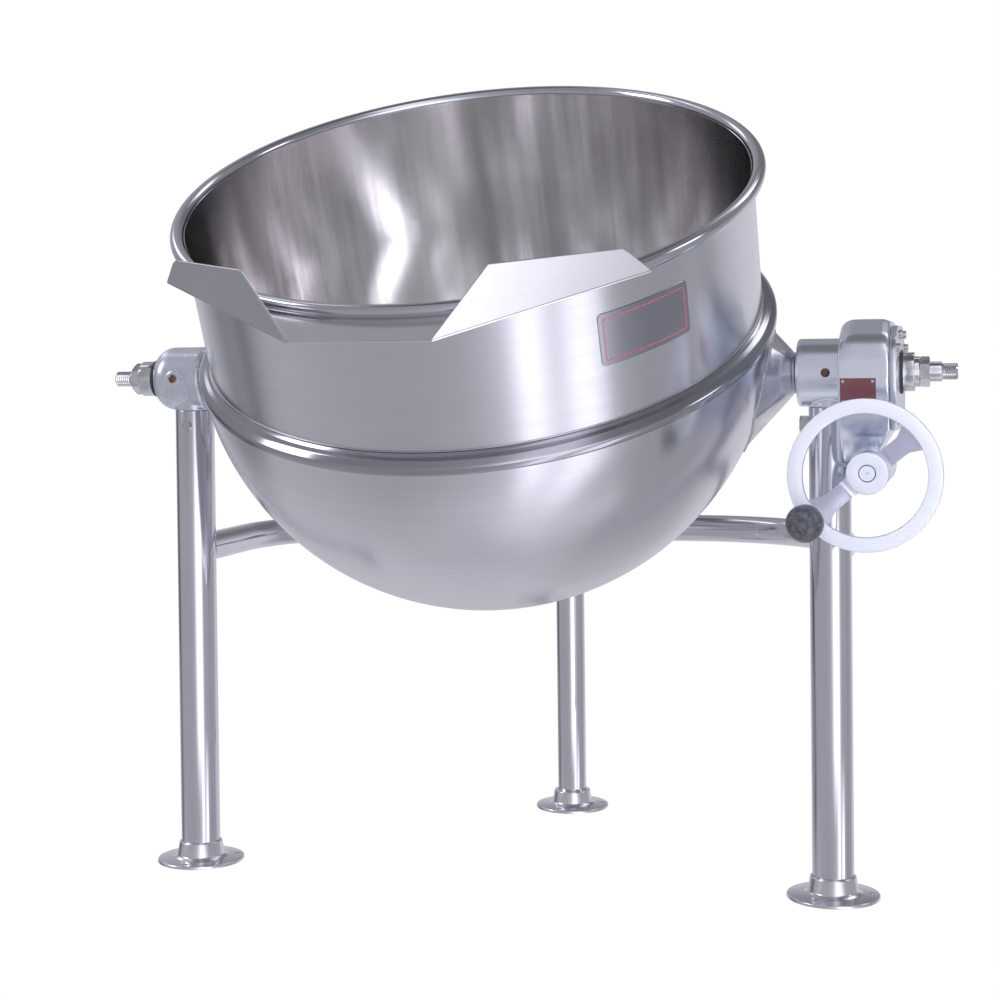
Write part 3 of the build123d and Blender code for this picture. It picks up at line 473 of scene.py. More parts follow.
def rounded(corners: Sequence[Spot], closed: bool = True, steps: int = 5) -> list[Point]:
    """Outline with rounded corners.

    Args:
        corners: Rows of (x, y, corner radius).
        closed: Whether the last corner joins the first.
        steps: Chords at each round corner.

    Returns:
        The outline's points.
    """
    line: list[Point] = []
    count = len(corners)
    for i, (x, y, radius) in enumerate(corners):
        if radius <= 0.0 or (not closed and i in (0, count - 1)):
            line.append((x, y))
            continue
        here = Vector((x, y))
        back = (Vector(corners[i - 1][:2]) - here).normalized()
        on = (Vector(corners[(i + 1) % count][:2]) - here).normalized()
        half = back.angle(on) / 2.0
        reach = radius / math.tan(half)
        centre = here + (back + on).normalized() * (radius / math.sin(half))
        first = here + back * reach - centre
        last = here + on * reach - centre
        sweep = first.angle_signed(last)
        for step in range(steps + 1):
            spoke = first.copy()
            spoke.rotate(Matrix.Rotation(-sweep * step / steps, 2))
            line.append((centre.x + spoke.x, centre.y + spoke.y))
    return line


def ring_of(count: int) -> list[float]:
    """Angles of points spread evenly round a circle, in radians."""
    return [2.0 * math.pi * i / count for i in range(count)]


def by_axes(origin: Vector, first: Vector, second: Vector, third: Vector) -> Matrix:
    """Placing matrix from where the origin and the axes go.

    Args:
        origin: Where the origin goes.
        first: Where X goes.
        second: Where Y goes.
        third: Where Z goes.

    Returns:
        The matrix.
    """
    place = Matrix((first, second, third)).transposed().to_4x4()
    place.translation = origin
    return place


# ------------------------------------------------------------------ finishes

class Sheet:
    """A material's node tree while it is being wired."""

    def __init__(self, tree: bpy.types.NodeTree) -> None:
        """Start on an emptied tree."""
        self.tree = tree
        tree.nodes.clear()

    def add(self, kind: str, **settings: object) -> bpy.types.Node:
        """Add a node.

        Args:
            kind: Node type without its ShaderNode prefix.
            **settings: Attributes, or inputs when the name is not one.

        Returns:
            The node.
        """
        node = self.tree.nodes.new("ShaderNode" + kind)
        for key, value in settings.items():
            if hasattr(node, key):
                setattr(node, key, value)
            else:
                node.inputs[key.replace("_", " ")].default_value = value
        return node

    def wire(self, source: bpy.types.NodeSocket, target: bpy.types.NodeSocket) -> None:
        """Link two sockets."""
        self.tree.links.new(source, target)

    def math(self, how: str, *values: object) -> bpy.types.NodeSocket:
        """Add a Math node fed with numbers or sockets.

        Args:
            how: Operation.
            *values: Its inputs.

        Returns:
            Its output.
        """
        node = self.add("Math", operation=how)
        for socket, value in zip(node.inputs, values):
            if isinstance(value, (int, float)):
                socket.default_value = float(value)
            else:
                self.wire(value, socket)
        return node.outputs[0]

    def span(self, value: bpy.types.NodeSocket, low: float, high: float) -> bpy.types.NodeSocket:
        """Map a value to 0 at one level and 1 at another, and no further.

        Args:
            value: The value.
            low: Level that becomes 0.
            high: Level that becomes 1.

        Returns:
            The mapped value.
        """
        node = self.add("MapRange", clamp=True)
        node.inputs["From Min"].default_value = low
        node.inputs["From Max"].default_value = high
        self.wire(value, node.inputs["Value"])
        return node.outputs[0]

    def blend(self, mask: bpy.types.NodeSocket, first: object, second: object) -> bpy.types.NodeSocket:
        """Mix two colours by a mask.

        Args:
            mask: Share of the second colour.
            first: A colour's socket or its four values.
            second: The same for the other colour.

        Returns:
            The mixed colour.
        """
        node = self.add("Mix", data_type="RGBA", clamp_factor=True)
        self.wire(mask, node.inputs[0])
        for socket, colour in ((node.inputs[6], first), (node.inputs[7], second)):
            if isinstance(colour, bpy.types.NodeSocket):
                self.wire(colour, socket)
            else:
                socket.default_value = colour
        return node.outputs[2]


def group(name: str, inputs: dict[str, tuple[str, object]], outputs: dict[str, str],
          wire: Callable[[Sheet, bpy.types.Node, bpy.types.Node], None]) -> bpy.types.NodeTree:
    """Build a shader node group once.

    Args:
        name: Name of the group.
        inputs: Socket name to (type, default).
        outputs: Socket name to type.
        wire: Function that wires the inside.

    Returns:
        The group's tree.
    """
    known = bpy.data.node_groups.get(name)
    if known:
        return known
    tree = bpy.data.node_groups.new(name, "ShaderNodeTree")
    for label, (kind, value) in inputs.items():
        socket = tree.interface.new_socket(name=label, in_out="INPUT", socket_type=kind)
        if value is not None:
            socket.default_value = value
    for label, kind in outputs.items():
        tree.interface.new_socket(name=label, in_out="OUTPUT", socket_type=kind)
    sheet = Sheet(tree)
    start = tree.nodes.new("NodeGroupInput")
    end = tree.nodes.new("NodeGroupOutput")
    wire(sheet, start, end)
    return tree


FLOAT = "NodeSocketFloat"
VECTOR = "NodeSocketVector"

# Scale of the broad brushing against the fine, depth of relief in metres, and a quarter of a full turn
BROAD_SHARE = 0.13
RELIEF = 0.0002
QUARTER_TURN = 0.25


def wire_round(sheet: Sheet, start: bpy.types.Node, end: bpy.types.Node) -> None:
    """Wire coordinates that run round an upright line: cosine and sine of the turn, then height."""
    split = sheet.add("SeparateXYZ")
    sheet.wire(start.outputs["Vector"], split.inputs[0])
    x, y, z = split.outputs
    turn = sheet.math("ARCTAN2", y, x)
    join = sheet.add("CombineXYZ")
    sheet.wire(sheet.math("COSINE", turn), join.inputs[0])
    sheet.wire(sheet.math("SINE", turn), join.inputs[1])
    sheet.wire(z, join.inputs[2])
    sheet.wire(join.outputs[0], end.inputs["Vector"])


def wire_brush(sheet: Sheet, start: bpy.types.Node, end: bpy.types.Node) -> None:
    """Wire fine lines of brushing, stretched by the Stretch input."""
    stretch = sheet.add("VectorMath", operation="MULTIPLY")
    sheet.wire(start.outputs["Vector"], stretch.inputs[0])
    sheet.wire(start.outputs["Stretch"], stretch.inputs[1])
    fine = sheet.add("TexNoise", Scale=1.0, Detail=4.0, Roughness=0.65)
    sheet.wire(stretch.outputs[0], fine.inputs["Vector"])
    broad = sheet.add("VectorMath", operation="SCALE")
    broad.inputs["Scale"].default_value = BROAD_SHARE
    sheet.wire(stretch.outputs[0], broad.inputs[0])
    coarse = sheet.add("TexNoise", Scale=1.0, Detail=2.0, Roughness=0.5)
    sheet.wire(broad.outputs[0], coarse.inputs["Vector"])
    thin, wide = sheet.math("MULTIPLY", fine.outputs[0], 0.6), sheet.math("MULTIPLY", coarse.outputs[0], 0.4)
    sheet.wire(sheet.math("ADD", thin, wide), end.inputs["Lines"])


def wire_smudge(sheet: Sheet, start: bpy.types.Node, end: bpy.types.Node) -> None:
    """Wire soft patches of handling and polishing; on the lining they are painted reflection."""
    noise = sheet.add("TexNoise", Detail=3.0, Roughness=0.55, Distortion=0.6)
    sheet.wire(start.outputs["Vector"], noise.inputs["Vector"])
    sheet.wire(start.outputs["Scale"], noise.inputs["Scale"])
    sheet.wire(sheet.span(noise.outputs[0], 0.35, 0.68), end.inputs["Patch"])


def wire_cast(sheet: Sheet, start: bpy.types.Node, end: bpy.types.Node) -> None:
    """Wire the pebbled skin of a casting."""
    pits = sheet.add("TexNoise", Detail=5.0, Roughness=0.6)
    sheet.wire(start.outputs["Vector"], pits.inputs["Vector"])
    sheet.wire(start.outputs["Scale"], pits.inputs["Scale"])
    cells = sheet.add("TexVoronoi", feature="SMOOTH_F1")
    sheet.wire(start.outputs["Vector"], cells.inputs["Vector"])
    sheet.wire(sheet.math("MULTIPLY", start.outputs["Scale"], 0.6), cells.inputs["Scale"])
    pebble, cell = sheet.math("MULTIPLY", pits.outputs[0], 0.7), sheet.math("MULTIPLY", cells.outputs[0], 0.3)
    sheet.wire(sheet.math("ADD", pebble, cell), end.inputs["Skin"])


def wire_wear(sheet: Sheet, start: bpy.types.Node, end: bpy.types.Node) -> None:
    """Wire a mask of worn convex edges, broken up by noise."""
    geometry = sheet.add("NewGeometry")
    noise = sheet.add("TexNoise", Scale=90.0, Detail=3.0)
    sheet.wire(start.outputs["Vector"], noise.inputs["Vector"])
    lifted = sheet.math("ADD", geometry.outputs["Pointiness"], sheet.math("MULTIPLY", noise.outputs[0], 0.04))
    sheet.wire(sheet.span(lifted, 0.535, 0.60), end.inputs["Wear"])


def effect(which: str) -> bpy.types.NodeTree:
    """Fetch one of the shared effects.

    Args:
        which: round, brush, smudge, cast or wear.

    Returns:
        Its node group.
    """
    name, extra, outputs, wire = {
        "round": ("round_coordinates", {}, {"Vector": VECTOR}, wire_round),
        "brush": ("brushed_lines", {"Stretch": (VECTOR, None)}, {"Lines": FLOAT}, wire_brush),
        "smudge": ("soft_patches", {"Scale": (FLOAT, 6.0)}, {"Patch": FLOAT}, wire_smudge),
        "wear": ("edge_wear", {}, {"Wear": FLOAT}, wire_wear),
        "cast": ("cast_skin", {"Scale": (FLOAT, 400.0)}, {"Skin": FLOAT}, wire_cast),
    }[which]
    return group(name, {"Vector": (VECTOR, None), **extra}, outputs, wire)


# How far each brushing, and the lining's painted reflection streaks, are drawn out along X, Y and Z
BRUSHING: dict[Grain, Spot] = {
    Grain.ROUND_BOWL: (3.0, 3.0, 900.0), Grain.DOWN_BOWL: (15.0, 15.0, 1.2),
    Grain.ALONG_Z: (900.0, 900.0, 6.0), Grain.ALONG_X: (8.0, 700.0, 700.0),
}


@dataclass(frozen=True)
class Metal:
    """A metal or painted-metal finish."""

    name: str
    colour: Spot
    shade: Spot
    gloss: tuple[float, float]
    grain: Grain = Grain.NONE
    lines: float = 0.0
    skin: float = 0.0
    skin_scale: float = 400.0
    patch: float = 0.3
    patch_scale: float = 7.0
    metallic: float = 1.0
    worn: bool = False
    stretch: float = 0.0
    contrast: float = 0.9

    @property
    def label(self) -> str:
        """Name of its material, apart from the names of the CAD's slots."""
        return f"{self.name}_finish"

    def coordinates(self, sheet: Sheet) -> tuple[bpy.types.NodeSocket, bpy.types.NodeSocket]:
        """Wire plain and brushed coordinates.

        Args:
            sheet: The material's tree.

        Returns:
            The object's own coordinates and those of its brushing.
        """
        where = sheet.add("TexCoord").outputs["Object"]
        if self.grain in (Grain.ROUND_BOWL, Grain.DOWN_BOWL):
            tilt = Matrix.Rotation(math.radians(-REST_TILT), 3, "X")
            centre = tilt @ Vector((-MID_X, -MID_Y, AXIS_Z)) * -0.001
            turn = sheet.add("Mapping")
            turn.inputs["Rotation"].default_value = (math.radians(-REST_TILT), 0.0, 0.0)
            turn.inputs["Location"].default_value = centre
            sheet.wire(where, turn.inputs[0])
            where = turn.outputs[0]
            ring = sheet.add("Group", node_tree=effect("round"))
            sheet.wire(where, ring.inputs[0])
            return where, ring.outputs[0]
        return where, where

    def build(self) -> bpy.types.Material:
        """Wire the material.

        Returns:
            The finished material.
        """
        material = bpy.data.materials.new(self.label)
        material.use_nodes = True
        sheet = Sheet(material.node_tree)
        shader = sheet.add("BsdfPrincipled", Metallic=self.metallic, Anisotropic=self.stretch)
        shader.inputs["Anisotropic Rotation"].default_value = QUARTER_TURN
        output = sheet.add("OutputMaterial")
        sheet.wire(shader.outputs[0], output.inputs[0])
        where, brushed = self.coordinates(sheet)
        smudge = sheet.add("Group", node_tree=effect("smudge"), Scale=self.patch_scale)
        sheet.wire(where, smudge.inputs["Vector"])
        mask = sheet.math("MULTIPLY", smudge.outputs[0], self.patch)
        height: Optional[bpy.types.NodeSocket] = None
        strength = 0.0
        if self.grain is not Grain.NONE:
            brush = sheet.add("Group", node_tree=effect("brush"), Stretch=BRUSHING[self.grain])
            sheet.wire(brushed, brush.inputs["Vector"])
            height, strength = brush.outputs[0], self.lines
            # Lines shade the colour as grain; at the lining's high contrast they paint reflection streaks
            streak = sheet.math("MULTIPLY", sheet.math("SUBTRACT", height, 0.5), self.contrast)
            mask = sheet.math("ADD", mask, streak)
        elif self.skin > 0.0:
            skin = sheet.add("Group", node_tree=effect("cast"), Scale=self.skin_scale)
            sheet.wire(where, skin.inputs["Vector"])
            height, strength = skin.outputs[0], self.skin
        if self.worn:
            wear = sheet.add("Group", node_tree=effect("wear"))
            sheet.wire(where, wear.inputs["Vector"])
            mask = sheet.math("SUBTRACT", mask, sheet.math("MULTIPLY", wear.outputs[0], 0.6))
        colour = sheet.blend(mask, (*self.colour, 1.0), (*self.shade, 1.0))
        sheet.wire(colour, shader.inputs["Base Color"])
        rough = sheet.add("MapRange", clamp=True)
        rough.inputs["To Min"].default_value, rough.inputs["To Max"].default_value = self.gloss
        sheet.wire(mask, rough.inputs["Value"])
        sheet.wire(rough.outputs[0], shader.inputs["Roughness"])
        if height is not None and strength > 0.0:
            bump = sheet.add("Bump", Strength=strength, Distance=RELIEF)
            sheet.wire(height, bump.inputs["Height"])
            sheet.wire(bump.outputs[0], shader.inputs["Normal"])
        return material


class Finish(Enum):
    """Every finish on the kettle."""

    WALL = Metal("brushed_wall", (0.66, 0.66, 0.70), (0.58, 0.58, 0.62), (0.22, 0.30),
                 Grain.ROUND_BOWL, 0.30, stretch=0.75)
    # LINING's strong light and dark streaks and broad patches are painted reflection streaks, not brushing
    LINING = Metal("lining_painted_streaks", (0.90, 0.885, 0.89), (0.47, 0.46, 0.465), (0.15, 0.23),
                   Grain.DOWN_BOWL, stretch=0.95, contrast=2.6, patch=0.6, patch_scale=3.0)
    # RIM's colour is darkened to paint in the dark reflection along the rim
    RIM = Metal("polished_rim", (0.60, 0.60, 0.64), (0.48, 0.48, 0.52), (0.12, 0.20), Grain.ROUND_BOWL, 0.1)
    # RING's colour is kept dark to paint in the shade and dark reflection under the ring's bulge
    RING = Metal("ring_painted_shade", (0.42, 0.42, 0.46), (0.31, 0.31, 0.35), (0.12, 0.20), Grain.ROUND_BOWL, 0.1)
    LIP = Metal("brushed_lip", (0.70, 0.70, 0.73), (0.60, 0.60, 0.63), (0.17, 0.21), Grain.ALONG_X)
    GUSSET = Metal("hammered_gusset", (0.80, 0.80, 0.84), (0.62, 0.62, 0.66), (0.20, 0.34),
                   skin=0.35, skin_scale=60.0, patch=0.7, patch_scale=18.0)
    TUBE = Metal("polished_tube", (0.66, 0.66, 0.71), (0.58, 0.58, 0.63), (0.10, 0.16), Grain.ALONG_Z, 0.05)
    FOOT = Metal("turned_foot", (0.76, 0.75, 0.79), (0.64, 0.63, 0.67), (0.20, 0.32),
                 skin=0.1, skin_scale=300.0)
    SILVER = Metal("silver_paint", (0.62, 0.65, 0.72), (0.50, 0.52, 0.59), (0.24, 0.38),
                   skin=0.3, skin_scale=520.0, patch=0.7, patch_scale=50.0, metallic=0.8, worn=True)
    CASTING = Metal("polished_casting", (0.88, 0.92, 1.0), (0.72, 0.76, 0.85), (0.24, 0.34),
                    skin=0.14, skin_scale=240.0, worn=True)
    COVER = Metal("milled_cover", (0.74, 0.76, 0.81), (0.62, 0.64, 0.69), (0.30, 0.42), skin=0.08)
    WHEEL = Metal("wheel_casting", (0.76, 0.77, 0.90), (0.66, 0.67, 0.80), (0.34, 0.46),
                  skin=0.2, skin_scale=500.0, metallic=0.85)
    FACE = Metal("turned_face", (0.74, 0.76, 0.87), (0.68, 0.70, 0.81), (0.40, 0.52),
                 skin=0.05, metallic=0.25)
    CHROME = Metal("bright_chrome", (0.76, 0.75, 0.76), (0.50, 0.50, 0.52), (0.08, 0.20),
                   patch=0.7, patch_scale=60.0)
    STEEL = Metal("machined_steel", (0.58, 0.57, 0.57), (0.47, 0.46, 0.46), (0.22, 0.36), skin=0.1)
    WELD = Metal("weld_bead", (0.54, 0.53, 0.56), (0.40, 0.38, 0.39), (0.26, 0.45),
                 skin=0.8, skin_scale=260.0)
    BRASS = Metal("dull_brass", (0.26, 0.18, 0.14), (0.13, 0.09, 0.07), (0.30, 0.48),
                  skin=0.2, patch=0.8, patch_scale=90.0)
    BRONZE = Metal("bearing_bronze", (0.56, 0.38, 0.20), (0.44, 0.28, 0.14), (0.28, 0.42), skin=0.1)
    BADGE = Metal("bare_badge", (0.38, 0.38, 0.43), (0.32, 0.32, 0.365), (0.20, 0.30), skin=0.05)
    RED = Metal("red_enamel", (0.15, 0.05, 0.065), (0.20, 0.10, 0.12), (0.22, 0.34), metallic=0.0, skin=0.05)
    TRIM = Metal("red_line", (0.58, 0.12, 0.17), (0.48, 0.10, 0.14), (0.30, 0.42), metallic=0.0)
    SEAL = Metal("dark_seal", (0.03, 0.032, 0.04), (0.02, 0.02, 0.025), (0.45, 0.6), metallic=0.0, skin=0.2)
    KNOB = Metal("black_knob", (0.045, 0.048, 0.064), (0.10, 0.105, 0.13), (0.20, 0.40),
                 metallic=0.0, skin=0.25, skin_scale=160.0, patch=1.0, patch_scale=150.0)

    def material(self) -> bpy.types.Material:
        """Fetch the material, building it the first time."""
        return bpy.data.materials.get(self.value.label) or self.value.build()


@dataclass
class Fitter:
    """Sets finished pieces in place and lists them."""

    place: Matrix
    body: Body
    slot: str

    def fit(self, obj: bpy.types.Object, finish: Finish, *nodes: str) -> None:
        """Scale a piece to metres, dress it and hang it on its body.

        Args:
            obj: The piece, in millimetres.
            finish: Its finish.
            *nodes: CAD nodes that it stands for.
        """
        Bench.move(obj, self.place)
        obj.data.materials.clear()
        obj.data.materials.append(finish.material())
        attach(obj, self.body.value)
        if nodes:
            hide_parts(*nodes)
        log.info("%s rides on %s", obj.name, self.body.value)


# ------------------------------------------------------------------ kettle

@dataclass
class Bowl:
    """Bowl, straight wall, rolled rim, steam jacket and its closing ring."""

    steps: int = 224
    skin: float = 1.25
    bead_r: float = 8.47
    seam_drop: float = 6.0
    seam_r: float = 0.9
    jacket_wall: float = 3.0
    ring_top: float = 82.0
    ring_r: float = 364.0
    ring_weld_r: float = 1.0

    def skin_line(self, inner: float, outer: float) -> list[Point]:
        """Profile of a bowl skin between two radii, from pole to pole."""
        inside = arc((0.0, BOWL_H), inner, -90.0, 0.0, 44)
        outside = arc((0.0, BOWL_H), outer, 0.0, -90.0, 44)
        return inside + [(inner, RIM_H), (outer, RIM_H)] + outside

    def build(self) -> None:
        """Make and fit the pieces."""
        fitter = Fitter(KETTLE, Body.KETTLE, "brushed_stainless")
        middle = BOWL_R + self.skin
        lining = Bench.turn("bowl_lining", self.skin_line(BOWL_R, middle), self.steps)
        fitter.fit(Bench.smooth(lining), Finish.LINING, "kettle_shell")
        wall = Bench.turn("bowl_wall", self.skin_line(middle, SHELL_R), self.steps)
        fitter.fit(Bench.smooth(wall), Finish.WALL, "kettle_shell")
        section = arc((RIM_PATH, RIM_H), self.bead_r, 0.0, 345.0, 23)
        bead = Bench.turn("rolled_rim", section, self.steps, True)
        fitter.fit(Bench.smooth(bead, BEAD_SMOOTH), Finish.RIM, "rim_bead")
        seam = Bench.hoop("rim_seam", (SHELL_R + 0.4, RIM_H - self.seam_drop), self.seam_r, self.steps)
        fitter.fit(seam, Finish.WELD)
        jacket = Bench.turn("steam_jacket_skin", self.jacket_line(), self.steps)
        fitter.fit(Bench.smooth(jacket), Finish.WALL, "steam_jacket")
        self.closing_ring(fitter)

    def jacket_line(self) -> list[Point]:
        """Profile of the jacket, up its inside and down its outside."""
        rise = JACKET_TOP - BOWL_H
        inner_r = JACKET_R - self.jacket_wall
        top = math.degrees(math.asin(rise / JACKET_R))
        inner_top = math.degrees(math.asin(rise / inner_r))
        inside = arc((0.0, BOWL_H), inner_r, -90.0, inner_top, 40)
        return inside + arc((0.0, BOWL_H), JACKET_R, top, -90.0, 40)

    def closing_ring(self, fitter: Fitter) -> None:
        """Bulged ring with its crease and fillet weld.

        Args:
            fitter: Where the ring is fitted.
        """
        low, inner = JACKET_TOP, SHELL_R - 0.2
        corners = [(356.0, low + 1.0, 0.0), (361.6, low + 0.2, 0.8), (363.9, low + 2.6, 2.0),
                   (self.ring_r, low + 9.5, 7.0), (357.5, low + 16.2, 9.0), (352.0, low + 19.0, 4.0),
                   (inner, self.ring_top + 1.2, 1.2), (inner, low + 12.0, 0.0)]
        ring = Bench.turn("jacket_closing_ring", rounded(corners, True, 6), self.steps, True)
        # The ring's dark finish is painted shade
        fitter.fit(Bench.smooth(ring, 50.0), Finish.RING, "jacket_ring")
        path = (SHELL_R + 0.3, self.ring_top + 1.0)
        fitter.fit(Bench.hoop("jacket_ring_weld", path, self.ring_weld_r, self.steps), Finish.WELD)


@dataclass
class PourLip:
    """Butterfly pour lip: a floor and two sloping sides."""

    shift: float = -12.8
    angle: float = 39.0
    offset: float = 370.6
    sheet: float = 2.5
    floor_h: float = 249.5
    front: float = -199.6
    back: float = 60.0
    peak: Point = (-125.4, 314.4)
    heel: Point = (30.0, 286.0)
    peak_round: float = 3.0
    heel_round: float = 25.0
    trim_r: float = 8.2
    mouth_r: float = 360.6
    weld_r: float = 1.1
    weld_step: float = 8.0
    weld_points: int = 17

    def foot(self, side: int) -> tuple[Vector, Vector, Vector]:
        """Frame of one side: its foot, its run and its outward normal."""
        turn = math.radians(self.angle)
        normal = Vector((side * math.sin(turn), -math.cos(turn), 0.0))
        run = Vector((side * math.cos(turn), math.sin(turn), 0.0))
        return Vector((self.shift, 0.0, 0.0)) + normal * self.offset, run, normal

    def corner(self, side: int, reach: float) -> Point:
        """Place of a floor corner under one side, so far along its run."""
        foot, run, normal = self.foot(side)
        spot = foot + run * reach + normal * (self.sheet / 2.0)
        return spot.x, spot.y

    def bead_cutter(self) -> bpy.types.Object:
        """Torus that trims sheets to the rim."""
        Bench.clear()
        bpy.ops.mesh.primitive_torus_add(major_radius=RIM_PATH, minor_radius=self.trim_r, major_segments=160,
                                         minor_segments=20)
        return Bench.move(Bench.named("rim_cutter"), Matrix.Translation((0.0, 0.0, RIM_H)))

    def build(self) -> None:
        """Make and fit the pieces."""
        fitter = Fitter(KETTLE, Body.KETTLE, "brushed_stainless")
        for side, hand in ((1, "right"), (-1, "left")):
            self.side(fitter, side, hand)
        corners = [self.corner(-1, self.front), self.corner(1, self.front), self.corner(1, self.back),
                   (self.shift, 0.0), self.corner(-1, self.back)]
        floor = Bench.slab("lip_floor", corners, self.sheet)
        Bench.move(floor, Matrix(((1, 0, 0, 0), (0, 0, 1, 0), (0, 1, 0, self.floor_h), (0, 0, 0, 1))))
        Bench.mend(floor)
        mouth = Bench.rod("mouth", (0.0, 0.0, 200.0), (0.0, 0.0, 300.0), self.mouth_r, 224)
        Bench.join(floor, mouth, "DIFFERENCE")
        Bench.soften(floor, 0.5)
        fitter.fit(Bench.smooth(floor, SHEET_SMOOTH), Finish.LIP, "pour_lip_pan")

    def side(self, fitter: Fitter, side: int, hand: str) -> None:
        """One sloping side with its rounded rear corner and a weld at its foot.

        Args:
            fitter: Where it is fitted.
            side: 1 for the right, -1 for the left.
            hand: The same as a word.
        """
        foot, run, normal = self.foot(side)
        bottom = self.floor_h + self.sheet
        line = rounded([(self.front, bottom, 0.0), (*self.peak, self.peak_round),
                        (*self.heel, self.heel_round), (self.back, bottom, 0.0)])
        plate = Bench.slab(f"{hand}_lip_side", line, self.sheet)
        Bench.move(plate, by_axes(foot - normal * (self.sheet / 2.0), run, normal, Vector(UPWARD)))
        Bench.mend(plate)
        Bench.join(plate, self.bead_cutter(), "DIFFERENCE")
        Bench.soften(plate, 0.6)
        fitter.fit(Bench.smooth(plate, SHEET_SMOOTH), Finish.LIP, f"{hand}_lip_wing")
        inner = foot - normal * (self.sheet / 2.0 + 0.3) + Vector((0.0, 0.0, bottom + 0.2))
        reach = [self.front + 3.0 + i * self.weld_step for i in range(self.weld_points)]
        points = [tuple(inner + run * u) for u in reach]
        fitter.fit(Bench.bead(f"{hand}_lip_side_weld", points, self.weld_r, False), Finish.WELD)


@dataclass
class Gussets:
    """Folded cones that carry the trunnions, with weld beads at their feet."""

    folds: int = 8
    base_x: float = 318.0
    base_r: float = 90.0
    tip_x: float = 384.0
    tip_r: float = 24.0
    pulls: int = 6
    fold_round: float = 5.0
    foot_weld_r: float = 1.8
    collar_r: float = 23.2
    collar_weld_r: float = 2.2
    ring_r: float = 363.5
    ring_mid: float = 74.0

    def build(self) -> None:
        """Make and fit the pieces."""
        fitter = Fitter(KETTLE, Body.KETTLE, "brushed_stainless")
        for side, name in ((1, "right"), (-1, "left")):
            cone = self.cone(f"{name}_gusset", side)
            fitter.fit(Bench.smooth(cone, 20.0), Finish.GUSSET, f"{name}_trunnion_gusset")
            fitter.fit(Bench.bead(f"{name}_gusset_weld", self.foot_line(side), self.foot_weld_r), Finish.WELD)
            end = side * (self.tip_x - 0.5)
            points = [(end, self.collar_r * math.cos(t), self.collar_r * math.sin(t)) for t in ring_of(32)]
            fitter.fit(Bench.bead(f"{name}_trunnion_weld", points, self.collar_weld_r), Finish.WELD)

    def cone(self, name: str, side: int) -> bpy.types.Object:
        """Folded cone drawn out from one ring.

        Args:
            name: Name of the piece.
            side: 1 for the right, -1 for the left.

        Returns:
            The cone.
        """
        Bench.clear()
        half_fold = math.pi / self.folds
        bpy.ops.mesh.primitive_circle_add(vertices=self.folds, radius=self.base_r / math.cos(half_fold),
                                          fill_type="NGON")
        obj = Bench.named(name)
        bpy.ops.object.mode_set(mode="EDIT")
        bpy.ops.mesh.select_all(action="SELECT")
        pull = (self.tip_x - self.base_x) / self.pulls
        radius = self.base_r
        for _ in range(self.pulls):
            bpy.ops.mesh.extrude_region_move(TRANSFORM_OT_translate={"value": (0.0, 0.0, pull)})
            smaller = radius - (self.base_r - self.tip_r) / self.pulls
            ratio = smaller / radius
            bpy.ops.transform.resize(value=(ratio, ratio, 1.0), center_override=(0.0, 0.0, 0.0))
            radius = smaller
        Bench.heal()
        Bench.soften(obj, self.fold_round, 3)
        turn = Matrix.Rotation(side * math.pi / 2.0, 4, "Y") @ Matrix.Rotation(half_fold, 4, "Z")
        Bench.move(obj, Matrix.Translation((side * self.base_x, 0.0, 0.0)) @ turn)
        return Bench.join(obj, self.core(), "DIFFERENCE")

    @staticmethod
    def core() -> bpy.types.Object:
        """Solid that trims a cone just under the jacket and the wall."""
        skin, wall = JACKET_R - 1.5, SHELL_R - 0.8
        top = math.degrees(math.asin((JACKET_TOP - BOWL_H) / skin))
        line = arc((0.0, BOWL_H), skin, -90.0, top, 60) + [(wall, JACKET_TOP), (wall, 200.0), (0.0, 200.0)]
        return Bench.turn("gusset_core", line, 224)

    def skin_r(self, height: float) -> float:
        """Radius of the jacket, ring or wall at a height."""
        if height < JACKET_TOP:
            return math.sqrt(max(JACKET_R ** 2 - (height - BOWL_H) ** 2, 0.0))
        return self.ring_r if height < self.ring_mid else SHELL_R

    def foot_line(self, side: int) -> list[Spot]:
        """Line where the cone meets the jacket, ring and wall.

        Args:
            side: 1 for the right, -1 for the left.

        Returns:
            Points of the line.
        """
        length, fold_angle = self.tip_x - self.base_x, 2.0 * math.pi / self.folds
        points: list[Spot] = []
        for turn in ring_of(96):
            fold = (turn + fold_angle / 2.0) % fold_angle - fold_angle / 2.0
            tries: list[tuple[float, Spot]] = []
            for i in range(121):
                x = self.base_x + length * i / 120.0
                flat = self.base_r - (x - self.base_x) * (self.base_r - self.tip_r) / length
                reach = flat / math.cos(fold)
                y, h = reach * math.cos(turn), reach * math.sin(turn)
                tries.append((abs(math.hypot(x, y) - self.skin_r(h)), (side * x, y, h)))
            points.append(min(tries, key=lambda row: row[0])[1])
        return points


